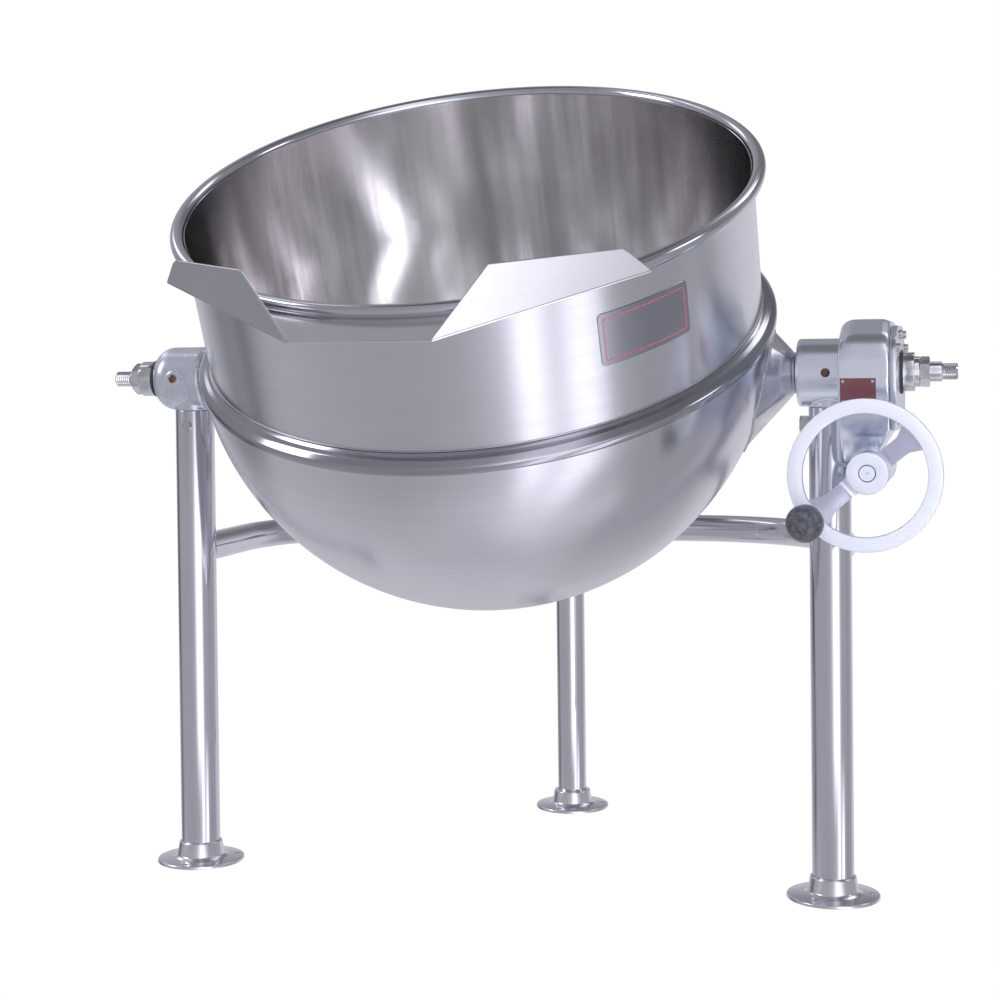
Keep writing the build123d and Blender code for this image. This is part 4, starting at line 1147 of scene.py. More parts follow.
@dataclass
class Badge:
    """Thin printed line round the bare badge plate."""

    start: float = 36.9
    end: float = 57.3
    low: float = 150.0
    high: float = 212.0
    inset: float = 6.0
    corner: float = 3.0
    stand_off: float = 1.15
    line_r: float = 0.55

    def build(self) -> None:
        """Lay the line along the curved wall."""
        fitter = Fitter(KETTLE, Body.KETTLE, "bare_badge")
        width = math.radians(self.end - self.start) * SHELL_R
        half, rise = width / 2.0 - self.inset, (self.high - self.low) / 2.0 - self.inset
        signs = ((-1, -1), (1, -1), (1, 1), (-1, 1))
        corners = rounded([(u * half, v * rise, self.corner) for u, v in signs])
        dense: list[Point] = []
        for (x0, y0), (x1, y1) in zip(corners, corners[1:] + corners[:1]):
            parts = max(1, round(math.hypot(x1 - x0, y1 - y0) / 6.0))
            dense += [(x0 + (x1 - x0) * i / parts, y0 + (y1 - y0) * i / parts) for i in range(parts)]
        middle = math.radians((self.start + self.end) / 2.0)
        radius, level = SHELL_R + self.stand_off, (self.low + self.high) / 2.0
        points = []
        for u, v in dense:
            turn = middle + u / SHELL_R
            points.append((radius * math.sin(turn), -radius * math.cos(turn), level + v))
        fitter.fit(Bench.bead("badge_line", points, self.line_r), Finish.TRIM)


# ------------------------------------------------------------------ stand

@dataclass
class Foot:
    """Flanged foot of one leg."""

    node: str
    at: Point
    phase: float
    leg_r: float = LEG_R
    flange: float = 57.0
    low_r: float = 31.2
    high_r: float = 28.0
    height: float = 26.0
    plate: float = 4.2
    hole_r: float = 4.5
    hole_edge: float = 8.5
    seam_r: float = 0.9

    def build(self, fitter: Fitter) -> None:
        """Make and fit the foot, its bolt holes and its seam.

        Args:
            fitter: Where it is fitted.
        """
        x, y = self.at
        bore = self.leg_r + 0.3
        line = rounded([(0.0, 0.0, 0.0), (self.flange, 0.0, 0.6), (self.flange, self.plate, 1.6),
                        (self.low_r + 5.0, self.plate + 1.0, 4.0), (self.low_r, 8.0, 3.0),
                        (self.high_r, self.height, 1.2), (bore, self.height, 0.4), (bore, 5.0, 0.0),
                        (0.0, 5.0, 0.0)], False, 4)
        foot = Bench.along(Bench.turn(f"{self.node}_flange", line, 128), (x, y, 0.0), UPWARD)
        for hole in range(3):
            turn = math.radians(self.phase + hole * 120.0)
            reach = self.flange - self.hole_edge
            u, v = x + reach * math.cos(turn), y + reach * math.sin(turn)
            Bench.join(foot, Bench.rod("hole", (u, v, -2.0), (u, v, 8.0), self.hole_r, 32), "DIFFERENCE")
        fitter.fit(Bench.smooth(foot), Finish.FOOT, self.node)
        seam = Bench.hoop(f"{self.node}_flange_seam", (self.leg_r + 0.6, self.height - 0.2), self.seam_r, 96)
        fitter.fit(Bench.along(seam, (x, y, 0.0), UPWARD), Finish.FOOT)


@dataclass
class TubeStand:
    """Legs, bent frame tube, flanged feet and their welds."""

    leg_wall: float = 3.0
    rear_wall: float = 2.5
    leg_foot: float = 5.0
    rear_top: float = FRAME_Z - 6.0
    bend: float = 230.0
    frame_start: float = 18.0
    bend_steps: int = 40
    frame_weld_r: float = 1.9
    rear_weld_r: float = 1.7

    def build(self) -> None:
        """Make and fit the pieces."""
        fitter = Fitter(STAND, Body.STAND, "stand_stainless")
        left = self.upright("left_leg_tube", LEG_R, self.leg_wall, LEG_TOP_Z)
        right = Bench.copy(left, "right_leg_tube")
        rear = self.upright("rear_leg_tube", REAR_LEG_R, self.rear_wall, self.rear_top)
        for tube, at, node in ((left, LEFT_LEG, "left_leg"), (right, RIGHT_LEG, "right_leg"),
                               (rear, REAR_LEG, "rear_leg")):
            fitter.fit(Bench.along(tube, (*at, 0.0), UPWARD), Finish.TUBE, node)
        fitter.fit(Bench.smooth(self.frame_tube()), Finish.TUBE, "rear_frame_tube")
        Foot("left_foot", LEFT_LEG, 28.0).build(fitter)
        Foot("right_foot", RIGHT_LEG, 7.0).build(fitter)
        Foot("rear_foot", REAR_LEG, 17.0, REAR_LEG_R, 53.0, 28.6, 26.2, 25.0).build(fitter)
        self.welds(fitter)

    def upright(self, name: str, radius: float, wall: float, top: float) -> bpy.types.Object:
        """One upright tube, standing at the middle of the floor plan.

        Args:
            name: Name of the piece.
            radius: Outer radius.
            wall: Wall thickness.
            top: Height of its top.

        Returns:
            The tube.
        """
        inner, low = radius - wall, self.leg_foot
        corners = [(inner, low, 0.3), (radius, low, 0.5), (radius, top, 0.5), (inner, top, 0.3)]
        return Bench.smooth(Bench.turn(name, rounded(corners, True, 2), 96, True))

    def frame_tube(self) -> bpy.types.Object:
        """Bent tube drawn from one ring: straight, bend, straight, bend, straight."""
        Bench.clear()
        turn_y = REAR_LEG[1] - self.bend
        bpy.ops.mesh.primitive_circle_add(vertices=64, radius=FRAME_R, fill_type="NGON",
                                          rotation=(math.pi / 2.0, 0.0, 0.0),
                                          location=(LEFT_LEG_X, self.frame_start, FRAME_Z))
        obj = Bench.named("rear_frame_bend")
        bpy.ops.object.transform_apply(location=True, rotation=True, scale=True)
        bpy.ops.object.mode_set(mode="EDIT")
        bpy.ops.mesh.select_all(action="SELECT")
        straight = turn_y - self.frame_start
        run = RIGHT_LEG_X - LEFT_LEG_X - 2.0 * self.bend
        for pull, bend_x in (((0.0, straight, 0.0), LEFT_LEG_X + self.bend),
                             ((run, 0.0, 0.0), RIGHT_LEG_X - self.bend)):
            bpy.ops.mesh.extrude_region_move(TRANSFORM_OT_translate={"value": pull})
            bpy.ops.mesh.spin(steps=self.bend_steps, angle=math.pi / 2.0, center=(bend_x, turn_y, FRAME_Z),
                              axis=UPWARD)
        bpy.ops.mesh.extrude_region_move(TRANSFORM_OT_translate={"value": (0.0, -straight, 0.0)})
        mesh = bmesh.from_edit_mesh(obj.data)
        inside = self.frame_start + 2.0
        inner = [face for face in mesh.faces if len(face.verts) > 4 and face.calc_center_median().y > inside]
        bmesh.ops.delete(mesh, geom=inner, context="FACES_ONLY")
        bmesh.update_edit_mesh(obj.data)
        Bench.heal()
        return obj

    def welds(self, fitter: Fitter) -> None:
        """Beads round the frame tube's ends and the rear leg's top.

        Args:
            fitter: Where they are fitted.
        """
        around = FRAME_R + 0.6
        for x, name in ((LEFT_LEG_X, "left_frame_weld"), (RIGHT_LEG_X, "right_frame_weld")):
            points = []
            for turn in ring_of(48):
                across, up = around * math.cos(turn), around * math.sin(turn)
                points.append((x + across, math.sqrt((LEG_R + 0.4) ** 2 - across ** 2), FRAME_Z + up))
            fitter.fit(Bench.bead(name, points, self.frame_weld_r), Finish.WELD)
        around = REAR_LEG_R + 0.3
        points = []
        for turn in ring_of(48):
            across, back = around * math.cos(turn), min(FRAME_R, around) * math.sin(turn)
            drop = math.sqrt(max((FRAME_R + 0.5) ** 2 - back ** 2, 16.0))
            points.append((REAR_LEG[0] + across, REAR_LEG[1] + back, FRAME_Z - drop))
        fitter.fit(Bench.bead("rear_leg_weld", points, self.rear_weld_r), Finish.WELD)


@dataclass
class Bearings:
    """Trunnion bearing castings and their grease plugs."""

    barrel: float = 41.5
    inner: float = 388.0
    bore_r: float = TRUNNION_R + 0.9
    nose_r: float = 25.2
    nose_at: Point = (16.3, 436.0)
    nose_turns: Sequence[int] = (74, 65, 55, 45, 35, 25, 15, 7, 0)
    nose_face: Point = (23.0, 461.0)
    left_neck_r: float = 25.8
    right_neck_r: float = 25.4
    shoulder: float = 443.8
    spigot: Point = (34.0, 452.0)
    boss_r: float = 9.0
    plug_x: float = 424.0
    plug_r: float = 5.5
    plug_length: float = 14.0
    slot: Spot = (1.4, 2.6, 20.0)
    grain: float = 1.1

    def build(self) -> None:
        """Make and fit the pieces."""
        self.left()
        self.right()
        fitter = Fitter(STAND, Body.STAND, "brass")
        left = self.plug("left_grease_plug")
        right = Bench.copy(left, "right_grease_plug")
        for side, plug in ((-1, left), (1, right)):
            Bench.move(plug, Matrix.Translation((side * self.plug_x, 0.0, AXIS_Z)))
            fitter.fit(Bench.smooth(plug, 40.0), Finish.BRASS, "grease_plugs")

    def plug(self, name: str) -> bpy.types.Object:
        """Domed plug with a screwdriver slot, in the middle of the trunnion line.

        Args:
            name: Name of the piece.

        Returns:
            The plug.
        """
        thread = self.plug_r - 1.0
        line = rounded([(0.0, 0.0, 0.0), (thread, 0.0, 0.0), (thread, 9.0, 0.0), (self.plug_r, 9.0, 0.3),
                        (self.plug_r, 12.6, 1.0), (0.0, self.plug_length, 0.0)], False, 3)
        plug = Bench.along(Bench.turn(name, line, 40), (0.0, -self.barrel + 11.0, 0.0), FORWARD)
        Bench.clear()
        bpy.ops.mesh.primitive_cube_add(size=1.0)
        place = Matrix.Translation((0.0, -self.barrel - 3.0, 0.0)) @ Matrix.Diagonal((*self.slot, 1.0))
        return Bench.join(plug, Bench.move(Bench.named("slot"), place), "DIFFERENCE")

    def drill(self, barrel: bpy.types.Object, start: float, end: float) -> None:
        """Bore a barrel for its trunnion.

        Args:
            barrel: The barrel.
            start: Where the bore begins along the trunnion line.
            end: Where it ends.
        """
        bore = Bench.rod("bore", (start, 0.0, AXIS_Z), (end, 0.0, AXIS_Z), self.bore_r, 64)
        Bench.join(barrel, bore, "DIFFERENCE")

    def left(self) -> None:
        """Round-nosed casting, blended into its neck."""
        fitter = Fitter(STAND, Body.STAND, "silver_casting")
        radius, height = self.nose_at
        turns = [math.radians(turn) for turn in self.nose_turns]
        nose = [(radius + self.nose_r * math.cos(t), height + self.nose_r * math.sin(t)) for t in turns]
        rear = [(self.barrel, 392.0), (40.0, 388.6), (37.5, self.inner), (0.0, self.inner)]
        line = [(0.0, self.nose_face[1]), self.nose_face] + nose + rear
        barrel = Bench.turn("left_bearing_casting", line, 96)
        Bench.along(barrel, (0.0, 0.0, AXIS_Z), (-1.0, 0.0, 0.0))
        neck = Bench.rod("neck", (*LEFT_LEG, LEG_TOP_Z), (*LEFT_LEG, AXIS_Z - 12.0), self.left_neck_r, 64)
        Bench.join(barrel, neck)
        back, front = (-self.plug_x, -20.0, AXIS_Z), (-self.plug_x, -self.barrel - 0.6, AXIS_Z)
        Bench.join(barrel, Bench.rod("boss", back, front, self.boss_r, 40))
        self.drill(barrel, -470.0, -380.0)
        fitter.fit(Bench.cast(barrel, self.grain, 9), Finish.SILVER, "left_bearing_housing")

    def right(self) -> None:
        """Polished barrel on its neck."""
        fitter = Fitter(STAND, Body.STAND, "polished_casting")
        spigot_r, end = self.spigot
        line = rounded([(0.0, self.inner, 0.0), (self.barrel, self.inner, 3.5),
                        (self.barrel, self.shoulder, 0.8), (spigot_r, self.shoulder, 0.0),
                        (spigot_r, end, 0.0), (0.0, end, 0.0)], False, 4)
        barrel = Bench.turn("right_bearing_casting", line, 96)
        Bench.along(barrel, (0.0, 0.0, AXIS_Z), (1.0, 0.0, 0.0))
        neck = Bench.rod("neck", (*RIGHT_LEG, LEG_TOP_Z), (*RIGHT_LEG, AXIS_Z - 31.0), self.right_neck_r, 64)
        Bench.join(barrel, neck)
        self.drill(barrel, 380.0, 460.0)
        fitter.fit(Bench.cast(barrel, self.grain, 6), Finish.CASTING, "right_bearing_housing")


@dataclass
class Gearbox:
    """Worm gearbox casting, its cover and its screws."""

    left: float = 444.0
    right: float = 503.0
    cover: float = 510.7
    radius: float = 112.0
    top: float = 63.4
    eave: float = 38.0
    ridge: float = 55.0
    roof_round: float = 40.0
    low: float = -67.6
    belly: Point = (489.0, 24.0)
    left_dome: Point = (17.0, 13.0)
    right_dome: Point = (12.0, 8.0)
    cover_drop: float = 8.0
    cover_gap: float = 0.3
    case_r: float = 24.0
    case_ends: Point = (-86.0, 64.0)
    screw_spots: Sequence[Point] = ((84.0, -56.0), (88.0, 29.0), (40.0, 45.0))

    def side_line(self) -> list[Point]:
        """Side view: a half disc under a low rounded top."""
        reach, bend = self.radius, self.roof_round
        roof = rounded([(-reach, 0.0, 0.0), (-reach, self.eave, bend), (-self.ridge, self.top, bend),
                        (self.ridge, self.top, bend), (reach, self.eave, bend), (reach, 0.0, 0.0)], False, 10)
        return roof + arc((0.0, 0.0), reach, 0.0, -180.0, 60)[1:-1]

    def drum(self, name: str, start: float, end: float) -> bpy.types.Object:
        """Slab of the side view between two places along X.

        Args:
            name: Name of the piece.
            start: Inner face.
            end: Outer face.

        Returns:
            The slab.
        """
        drum = Bench.slab(name, self.side_line(), end - start)
        Bench.move(drum, Matrix(((0, 1, 0, start), (1, 0, 0, 0), (0, 0, 1, AXIS_Z), (0, 0, 0, 1))))
        return Bench.mend(drum)

    @staticmethod
    def cutter(name: str, line: Sequence[Point]) -> bpy.types.Object:
        """Slab of a front view, deep enough to cut the whole box.

        Args:
            name: Name of the slab.
            line: Outline, with heights from the trunnion line.

        Returns:
            The slab.
        """
        return Bench.move(Bench.slab(name, line, 300.0), Matrix.Translation((0.0, -150.0, AXIS_Z)))

    def dome(self, obj: bpy.types.Object, x: float, reach: float, drop: float, steps: int = 8) -> None:
        """Carry one end on while its upper half sinks, as a rounded shoulder.

        Args:
            obj: The slab.
            x: Where the end is now.
            reach: How far it is carried, with its sign.
            drop: How far the top sinks.
            steps: Facets across the shoulder.
        """
        Bench.edit(obj)
        height = self.top
        for step in range(steps):
            before, after = (math.radians(90.0 * k / steps) for k in (step, step + 1))
            Bench.select_where(lambda spot: abs(spot.x - x) < 0.01)
            move = reach * (math.sin(after) - math.sin(before))
            bpy.ops.mesh.extrude_region_move(TRANSFORM_OT_translate={"value": (move, 0.0, 0.0)})
            x += move
            Bench.select_where(lambda spot: abs(spot.x - x) < 0.01 and spot.z > AXIS_Z)
            sunk = self.top - drop * (1.0 - math.cos(after))
            bpy.ops.transform.resize(value=(1.0, 1.0, sunk / height), center_override=(0.0, 0.0, AXIS_Z))
            height = sunk
        Bench.heal()

    def sink(self, obj: bpy.types.Object, drop: float) -> None:
        """Lower the roof of a slab.

        Args:
            obj: The slab.
            drop: How far its top sinks.
        """
        Bench.edit(obj)
        Bench.select_where(lambda spot: spot.z > AXIS_Z)
        bpy.ops.transform.resize(value=(1.0, 1.0, 1.0 - drop / self.top), center_override=(0.0, 0.0, AXIS_Z))
        Bench.heal()

    def build(self) -> None:
        """Make and fit the pieces."""
        fitter = Fitter(STAND, Body.STAND, "polished_casting")
        (left_reach, left_drop), (right_reach, right_drop) = self.left_dome, self.right_dome
        inner, outer = self.left + left_reach, self.right - right_reach
        casting = self.drum("gearbox_casting", inner, outer)
        self.dome(casting, inner, -left_reach, left_drop)
        self.dome(casting, outer, right_reach, right_drop)
        belly_x, belly_drop = self.belly
        sight = [(self.left - 5.0, 90.0), (self.right + 5.0, 90.0), (self.right + 5.0, self.low),
                 (self.right, self.low), (belly_x, self.low - belly_drop), (belly_x, -130.0),
                 (self.left - 5.0, -130.0)]
        Bench.join(casting, self.cutter("front", sight), "INTERSECT")
        x, z = WORM
        back, front = self.case_ends
        Bench.join(casting, Bench.rod("case", (x, back, z), (x, front, z), self.case_r, 72))
        saddle = Bench.rod("saddle", (*RIGHT_LEG, 380.0), (*RIGHT_LEG, AXIS_Z - 28.0), LEG_R + 0.4, 64)
        Bench.join(casting, saddle, "DIFFERENCE")
        fitter.fit(Bench.cast(casting, 1.3, 7), Finish.CASTING, "gearbox_housing")
        self.side_cover(fitter)
        self.screws()
        self.case_face(fitter)

    def side_cover(self, fitter: Fitter) -> None:
        """Flat cover on the outer side, cut off level below.

        Args:
            fitter: Where it is fitted.
        """
        cover = self.drum("gearbox_side_cover", self.right + self.cover_gap, self.cover)
        self.sink(cover, self.cover_drop)
        below = [(495.0, self.low), (520.0, self.low), (520.0, -140.0), (495.0, -140.0)]
        Bench.join(cover, self.cutter("cut", below), "DIFFERENCE")
        bore = Bench.rod("bore", (490.0, 0.0, AXIS_Z), (520.0, 0.0, AXIS_Z), TRUNNION_R + 0.6, 64)
        Bench.join(cover, bore, "DIFFERENCE")
        Bench.soften(cover, 0.8, angle=40.0)
        fitter.fit(Bench.smooth(cover), Finish.COVER, "gearbox_cover")

    def case_face(self, fitter: Fitter) -> None:
        """Turned front face of the worm case.

        Args:
            fitter: Where it is fitted.
        """
        x, z = WORM
        line = rounded([(9.4, 0.0, 0.3), (21.5, 0.0, 0.8), (21.5, 1.2, 0.3), (9.4, 1.2, 0.3)], True, 2)
        face = Bench.turn("worm_case_face", line, 72, True)
        Bench.along(face, (x, self.case_ends[0] - 0.2, z), FORWARD)
        fitter.fit(Bench.smooth(face), Finish.COVER)

    def screws(self) -> None:
        """Socket cap screws on the cover: one is made, the others are copies."""
        fitter = Fitter(STAND, Body.STAND, "machined_steel")
        line = rounded([(0.0, 0.0, 0.0), (5.0, 0.0, 0.0), (5.0, 5.0, 0.7), (0.0, 5.0, 0.0)], False, 3)
        first = Bench.turn("cover_screw_1", line, 32)
        Bench.clear()
        bpy.ops.mesh.primitive_cylinder_add(vertices=6, radius=2.6, depth=6.0, location=(0.0, 0.0, 5.4))
        Bench.smooth(Bench.join(first, Bench.named("socket"), "DIFFERENCE"))
        spots = [(sign * y, z) for y, z in self.screw_spots for sign in (-1, 1)]
        heads = [first] + [Bench.copy(first, f"cover_screw_{number + 1}") for number in range(1, len(spots))]
        for head, (y, z) in zip(heads, spots):
            Bench.along(head, (self.cover, y, AXIS_Z + z), (1.0, 0.0, 0.0))
            fitter.fit(head, Finish.STEEL, "cover_screws")


# ------------------------------------------------------------------ handwheel

@dataclass
class Handwheel:
    """Dished two-spoke handwheel with a ball knob."""

    hub_r: float = 24.5
    bore_r: float = 9.1
    hub: Point = (88.0, 122.0)
    rim: Point = (70.5, 87.5)
    depth: Point = (148.0, 162.0)
    rim_round: float = 5.0
    rim_edge: float = 0.9
    face_edge: float = 0.4
    hub_edge: float = 0.6
    groove_r: float = 10.0
    spokes: Point = (39.0, 219.0)
    spoke_width: float = 80.0
    spoke_side: Sequence[Spot] = (
        (8.0, 100.0, 0.0), (26.0, 100.0, 8.0), (62.0, 140.0, 10.0), (74.0, 149.5, 0.0), (84.0, 150.0, 0.0),
        (84.0, 159.0, 0.0), (69.0, 160.0, 6.0), (30.0, 121.3, 10.0), (8.0, 121.3, 0.0))
    spoke_flare: Sequence[Spot] = (
        (4.0, 14.0, 0.0), (28.0, 11.0, 8.0), (54.0, 11.0, 14.0), (74.0, 21.0, 0.0), (84.0, 24.0, 0.0))
    knob_angle: float = 219.0
    knob_path: float = 84.0
    knob_r: float = 21.75
    knob_depth: float = 187.0
    knob_bore_r: float = 5.1

    def turned(self, name: str, rows: Sequence[Spot], chords: int, steps: int) -> bpy.types.Object:
        """Turn a closed section about the worm's line.

        Args:
            name: Name of the piece.
            rows: Section corners as (radius, distance forward, rounding).
            chords: Chords at each round corner.
            steps: Facets round the turn.

        Returns:
            The turned object, in place.
        """
        piece = Bench.turn(name, rounded(rows, True, chords), steps, True)
        return Bench.along(piece, (WORM[0], 0.0, WORM[1]), FORWARD)

    def build(self) -> None:
        """Make and fit the pieces."""
        fitter = Fitter(STAND, Body.HANDWHEEL, "wheel_aluminium")
        (low, high), (back, front) = self.rim, self.depth
        bend, edge = self.rim_round, self.rim_edge
        rim = self.turned("wheel_rim", [(low, back, bend), (high, back, bend), (high, front - edge, edge),
                                        (low, front - edge, edge)], 5, 144)
        start, end = self.hub
        seat = end - self.hub_edge
        hub = self.turned("wheel_hub", [(self.bore_r, start, 0.4), (self.hub_r, start, 1.5),
                                        (self.hub_r, seat, self.hub_edge), (self.bore_r, seat, 0.4)], 3, 96)
        for angle in self.spokes:
            Bench.join(hub, self.spoke(angle))
        Bench.join(rim, hub)
        fitter.fit(Bench.smooth(rim, 32.0), Finish.WHEEL, "handwheel")
        edge, seat = self.face_edge, front - 1.0
        face = self.turned("wheel_rim_face", [(low + edge, seat, 0.0), (high - edge, seat, edge),
                                              (high - 0.6, front, edge), (low + 0.6, front, edge)], 2, 144)
        fitter.fit(Bench.smooth(face), Finish.FACE)
        groove = self.groove_r
        disc = self.turned("wheel_hub_face", [(groove, end - 0.8, 0.0), (self.hub_r - edge, end - 0.8, 0.3),
                                              (self.hub_r - 0.6, end, 0.3), (groove + 0.2, end, 0.3)], 2, 96)
        fitter.fit(Bench.smooth(disc), Finish.FACE)
        # Dark ring round the shaft, slightly sunk: its black seal finish paints the shade of a groove
        inner, outer = self.bore_r + 0.05, groove + 0.1
        ring = self.turned("wheel_hub_groove_shade", [(inner, end - 1.0, 0.0), (outer, end - 1.0, 0.0),
                                              (outer, end - 0.2, 0.1), (inner, end - 0.2, 0.1)], 2, 96)
        fitter.fit(Bench.smooth(ring), Finish.SEAL)
        self.knob()

    def spoke(self, angle: float) -> bpy.types.Object:
        """One flat spoke, bent forward to the rim and flared at both ends.

        Args:
            angle: Its direction, from +X towards +Z, seen from the front.

        Returns:
            The spoke.
        """
        turn = math.radians(angle)
        across, forward = Vector((math.cos(turn), 0.0, math.sin(turn))), Vector(FORWARD)
        third = across.cross(forward)
        centre = Vector((WORM[0], 0.0, WORM[1]))
        web = Bench.slab("web", rounded(self.spoke_side, True, 4), self.spoke_width)
        Bench.move(web, by_axes(centre + third * (self.spoke_width / 2.0), across, -third, forward))
        Bench.mend(web)
        below = [(x, -y, bend) for x, y, bend in self.spoke_flare]
        flare = Bench.slab("flare", rounded([*below, *reversed(self.spoke_flare)], True, 4), 120.0)
        Bench.move(flare, by_axes(centre + forward * 80.0, across, forward, third))
        Bench.join(web, Bench.mend(flare), "INTERSECT")
        Bench.mend(web)
        return Bench.mend(Bench.soften(web, 1.2, angle=40.0))

    def knob(self) -> None:
        """Ball knob on its shouldered stud."""
        turn = math.radians(self.knob_angle)
        x, z = WORM[0] + self.knob_path * math.cos(turn), WORM[1] + self.knob_path * math.sin(turn)
        flat = math.degrees(math.acos(6.4 / self.knob_r))
        ball_line = arc((0.0, 0.0), self.knob_r, -flat, flat, 40)
        line = [(self.knob_bore_r, -20.9)] + ball_line + [(self.knob_bore_r, 20.6)]
        ball = Bench.along(Bench.turn("wheel_ball_knob", line, 72, True), (x, -self.knob_depth, z), FORWARD)
        fitter = Fitter(STAND, Body.KNOB, "black_knob")
        fitter.fit(Bench.smooth(ball, 50.0), Finish.KNOB, "ball_knob")


# ------------------------------------------------------------------ unions

@dataclass
class Union:
    """Rotary union of turned steps, a hexagon and a pipe nipple."""

    name: str
    side: int
    body: Body
    start: float
    steps: Sequence[Point]
    hexagon: Spot
    nipple: Spot
    seal_r: float = 14.1
    seal_depth: float = 22.0
    bore_r: float = 7.6
    nut_hole_r: float = 11.0
    chamfer: float = 3.6
    threads: int = 7
    thread_depth: float = 0.7

    def stand(self, piece: bpy.types.Object, distance: float = 0.0) -> bpy.types.Object:
        """Stand a turned piece on the trunnion line, so far out."""
        return Bench.along(piece, (self.side * distance, 0.0, AXIS_Z), (float(self.side), 0.0, 0.0))

    def build(self) -> None:
        """Make and fit the pieces."""
        fitter = Fitter(STAND, self.body, "bright_chrome")
        body_node = f"{self.name}_body"
        rows: list[Spot] = [(self.seal_r, self.start, 0.0)]
        here = self.start
        for end, radius in self.steps:
            rows += [(radius, here, 0.5), (radius, end, 0.7)]
            here = end
        seal_end = self.start + self.seal_depth
        rows += [(self.bore_r, here, 0.0), (self.bore_r, seal_end, 0.0), (self.seal_r, seal_end, 0.0)]
        body = self.stand(Bench.turn(f"{self.name}_body", rounded(rows, True, 3), 96, True))
        fitter.fit(Bench.smooth(body), Finish.CHROME, body_node)
        fitter.fit(Bench.smooth(self.nut()), Finish.CHROME, body_node)
        thread = self.stand(Bench.turn(f"{self.name}_nipple_thread", self.thread_line(), 72, True))
        fitter.fit(Bench.smooth(thread, 20.0), Finish.CHROME, f"{self.name}_nipple")

    def nut(self) -> bpy.types.Object:
        """Hexagon with chamfered corners, bored for the body."""
        low, high, flats = self.hexagon
        tall, flat, corner = high - low, flats / 2.0 + 0.4, flats / 2.0 + 4.0
        Bench.clear()
        bpy.ops.mesh.primitive_cylinder_add(vertices=6, radius=flats / math.sqrt(3.0), depth=tall)
        nut = Bench.named(f"{self.name}_hexagon")
        cone = Bench.turn("cone", [(0.0, -tall), (flat, -tall), (corner, self.chamfer - tall),
                                   (corner, tall - self.chamfer), (flat, tall), (0.0, tall)], 72)
        Bench.move(cone, Matrix.Diagonal((1.0, 1.0, 0.5, 1.0)))
        Bench.join(nut, cone, "INTERSECT")
        hole = Bench.rod("hole", (0.0, 0.0, -30.0), (0.0, 0.0, 30.0), self.nut_hole_r, 48)
        Bench.join(nut, hole, "DIFFERENCE")
        Bench.soften(nut, 0.4)
        return self.stand(nut, (low + high) / 2.0)

    def thread_line(self) -> list[Point]:
        """Section of the nipple with its thread crests."""
        start, end, radius = self.nipple
        line: list[Point] = [(7.0, start), (radius, start)]
        pitch = (end - start - 3.0) / self.threads
        for thread in range(self.threads):
            base = start + 1.5 + thread * pitch
            line += [(radius, base), (radius - self.thread_depth, base + pitch / 2.0)]
        return line + [(radius, end - 1.5), (radius - 1.2, end), (self.bore_r, end), (7.0, end - 0.6)]


# ------------------------------------------------------------------ dressing what stays

class Dressing:
    """Finishes for the CAD nodes that stay as they are."""

    NODES: dict[Finish, Sequence[str]] = {
        Finish.STEEL: ("left_trunnion", "right_trunnion", "condensate_tube", "wheel_key", "handwheel_key",
                       "retaining_ring", "hub_set_screw", "left_leg_screw", "gearbox_tie_bolt",
                       "tie_bolt_nut"),
        Finish.BRONZE: ("left_trunnion_bushing", "right_trunnion_bushing", "front_worm_bushing",
                        "rear_worm_bushing", "worm_wheel_sector"),
        Finish.FACE: ("worm_shaft",),
        Finish.CHROME: ("data_plate_rivets",),
        Finish.RED: ("data_plate",),
        Finish.BADGE: ("badge_plate",),
        Finish.SEAL: ("left_seal_ring", "right_seal_ring"),
        Finish.KNOB: ("knob_stud",),
        Finish.COVER: ("worm_end_cap",),
    }

    @classmethod
    def build(cls) -> None:
        """Put each finish in its node's material slots."""
        for finish, names in cls.NODES.items():
            for name in names:
                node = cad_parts[name]
                node.data.materials.clear()
                node.data.materials.append(finish.material())
                log.info("%s dressed in %s", name, finish.value.name)


# ------------------------------------------------------------------ stage

# Rows of (degrees from the front towards +X, light level): level with the kettle, low, high and straight down
LEVEL_ROOM: Sequence[Point] = (
    (-180, 0.72), (-140, 0.60), (-125, 0.40), (-118, 0.26), (-110, 0.07), (-104, 0.20), (-97, 0.33),
    (-88, 0.46), (-60, 0.48), (-20, 0.48), (0, 0.56), (10, 0.90), (20, 1.90), (45, 1.90), (54, 0.80),
    (62, 0.50), (90, 0.48), (105, 0.42), (116, 0.50), (125, 0.42), (136, 0.66), (150, 0.78), (180, 0.72))
LOW_ROOM: Sequence[Point] = (
    (-180, 0.75), (-130, 0.70), (-100, 0.60), (-60, 0.49), (-20, 0.47), (10, 0.52), (24, 0.66), (34, 0.90),
    (40, 1.90), (48, 1.90), (54, 0.90), (59, 0.90), (64, 1.90), (75.5, 2.00), (78.5, 0.65), (89, 0.50),
    (96, 0.42), (110, 0.46), (125, 0.44), (138, 0.42), (155, 0.55), (180, 0.70))
HIGH_ROOM: Sequence[Point] = (
    (-180, 0.26), (-150, 0.42), (-120, 0.44), (-85, 0.44), (-40, 0.38), (-10, 0.46), (8, 0.60), (20, 1.30),
    (34, 1.30), (44, 0.40), (70, 0.28), (110, 0.28), (130, 0.36), (155, 0.22), (180, 0.22))
NADIR: Sequence[Point] = (
    (-180, 0.60), (-60, 0.64), (20, 0.85), (60, 0.90), (100, 0.95), (125, 0.80), (160, 0.60), (180, 0.60))

# Each other room, with the sines of the heights where it begins and where it has taken over
ZONES: Sequence[tuple[Sequence[Point], float, float]] = (
    (LOW_ROOM, -0.34, -0.50), (HIGH_ROOM, 0.10, 0.36), (NADIR, -0.86, -0.98))


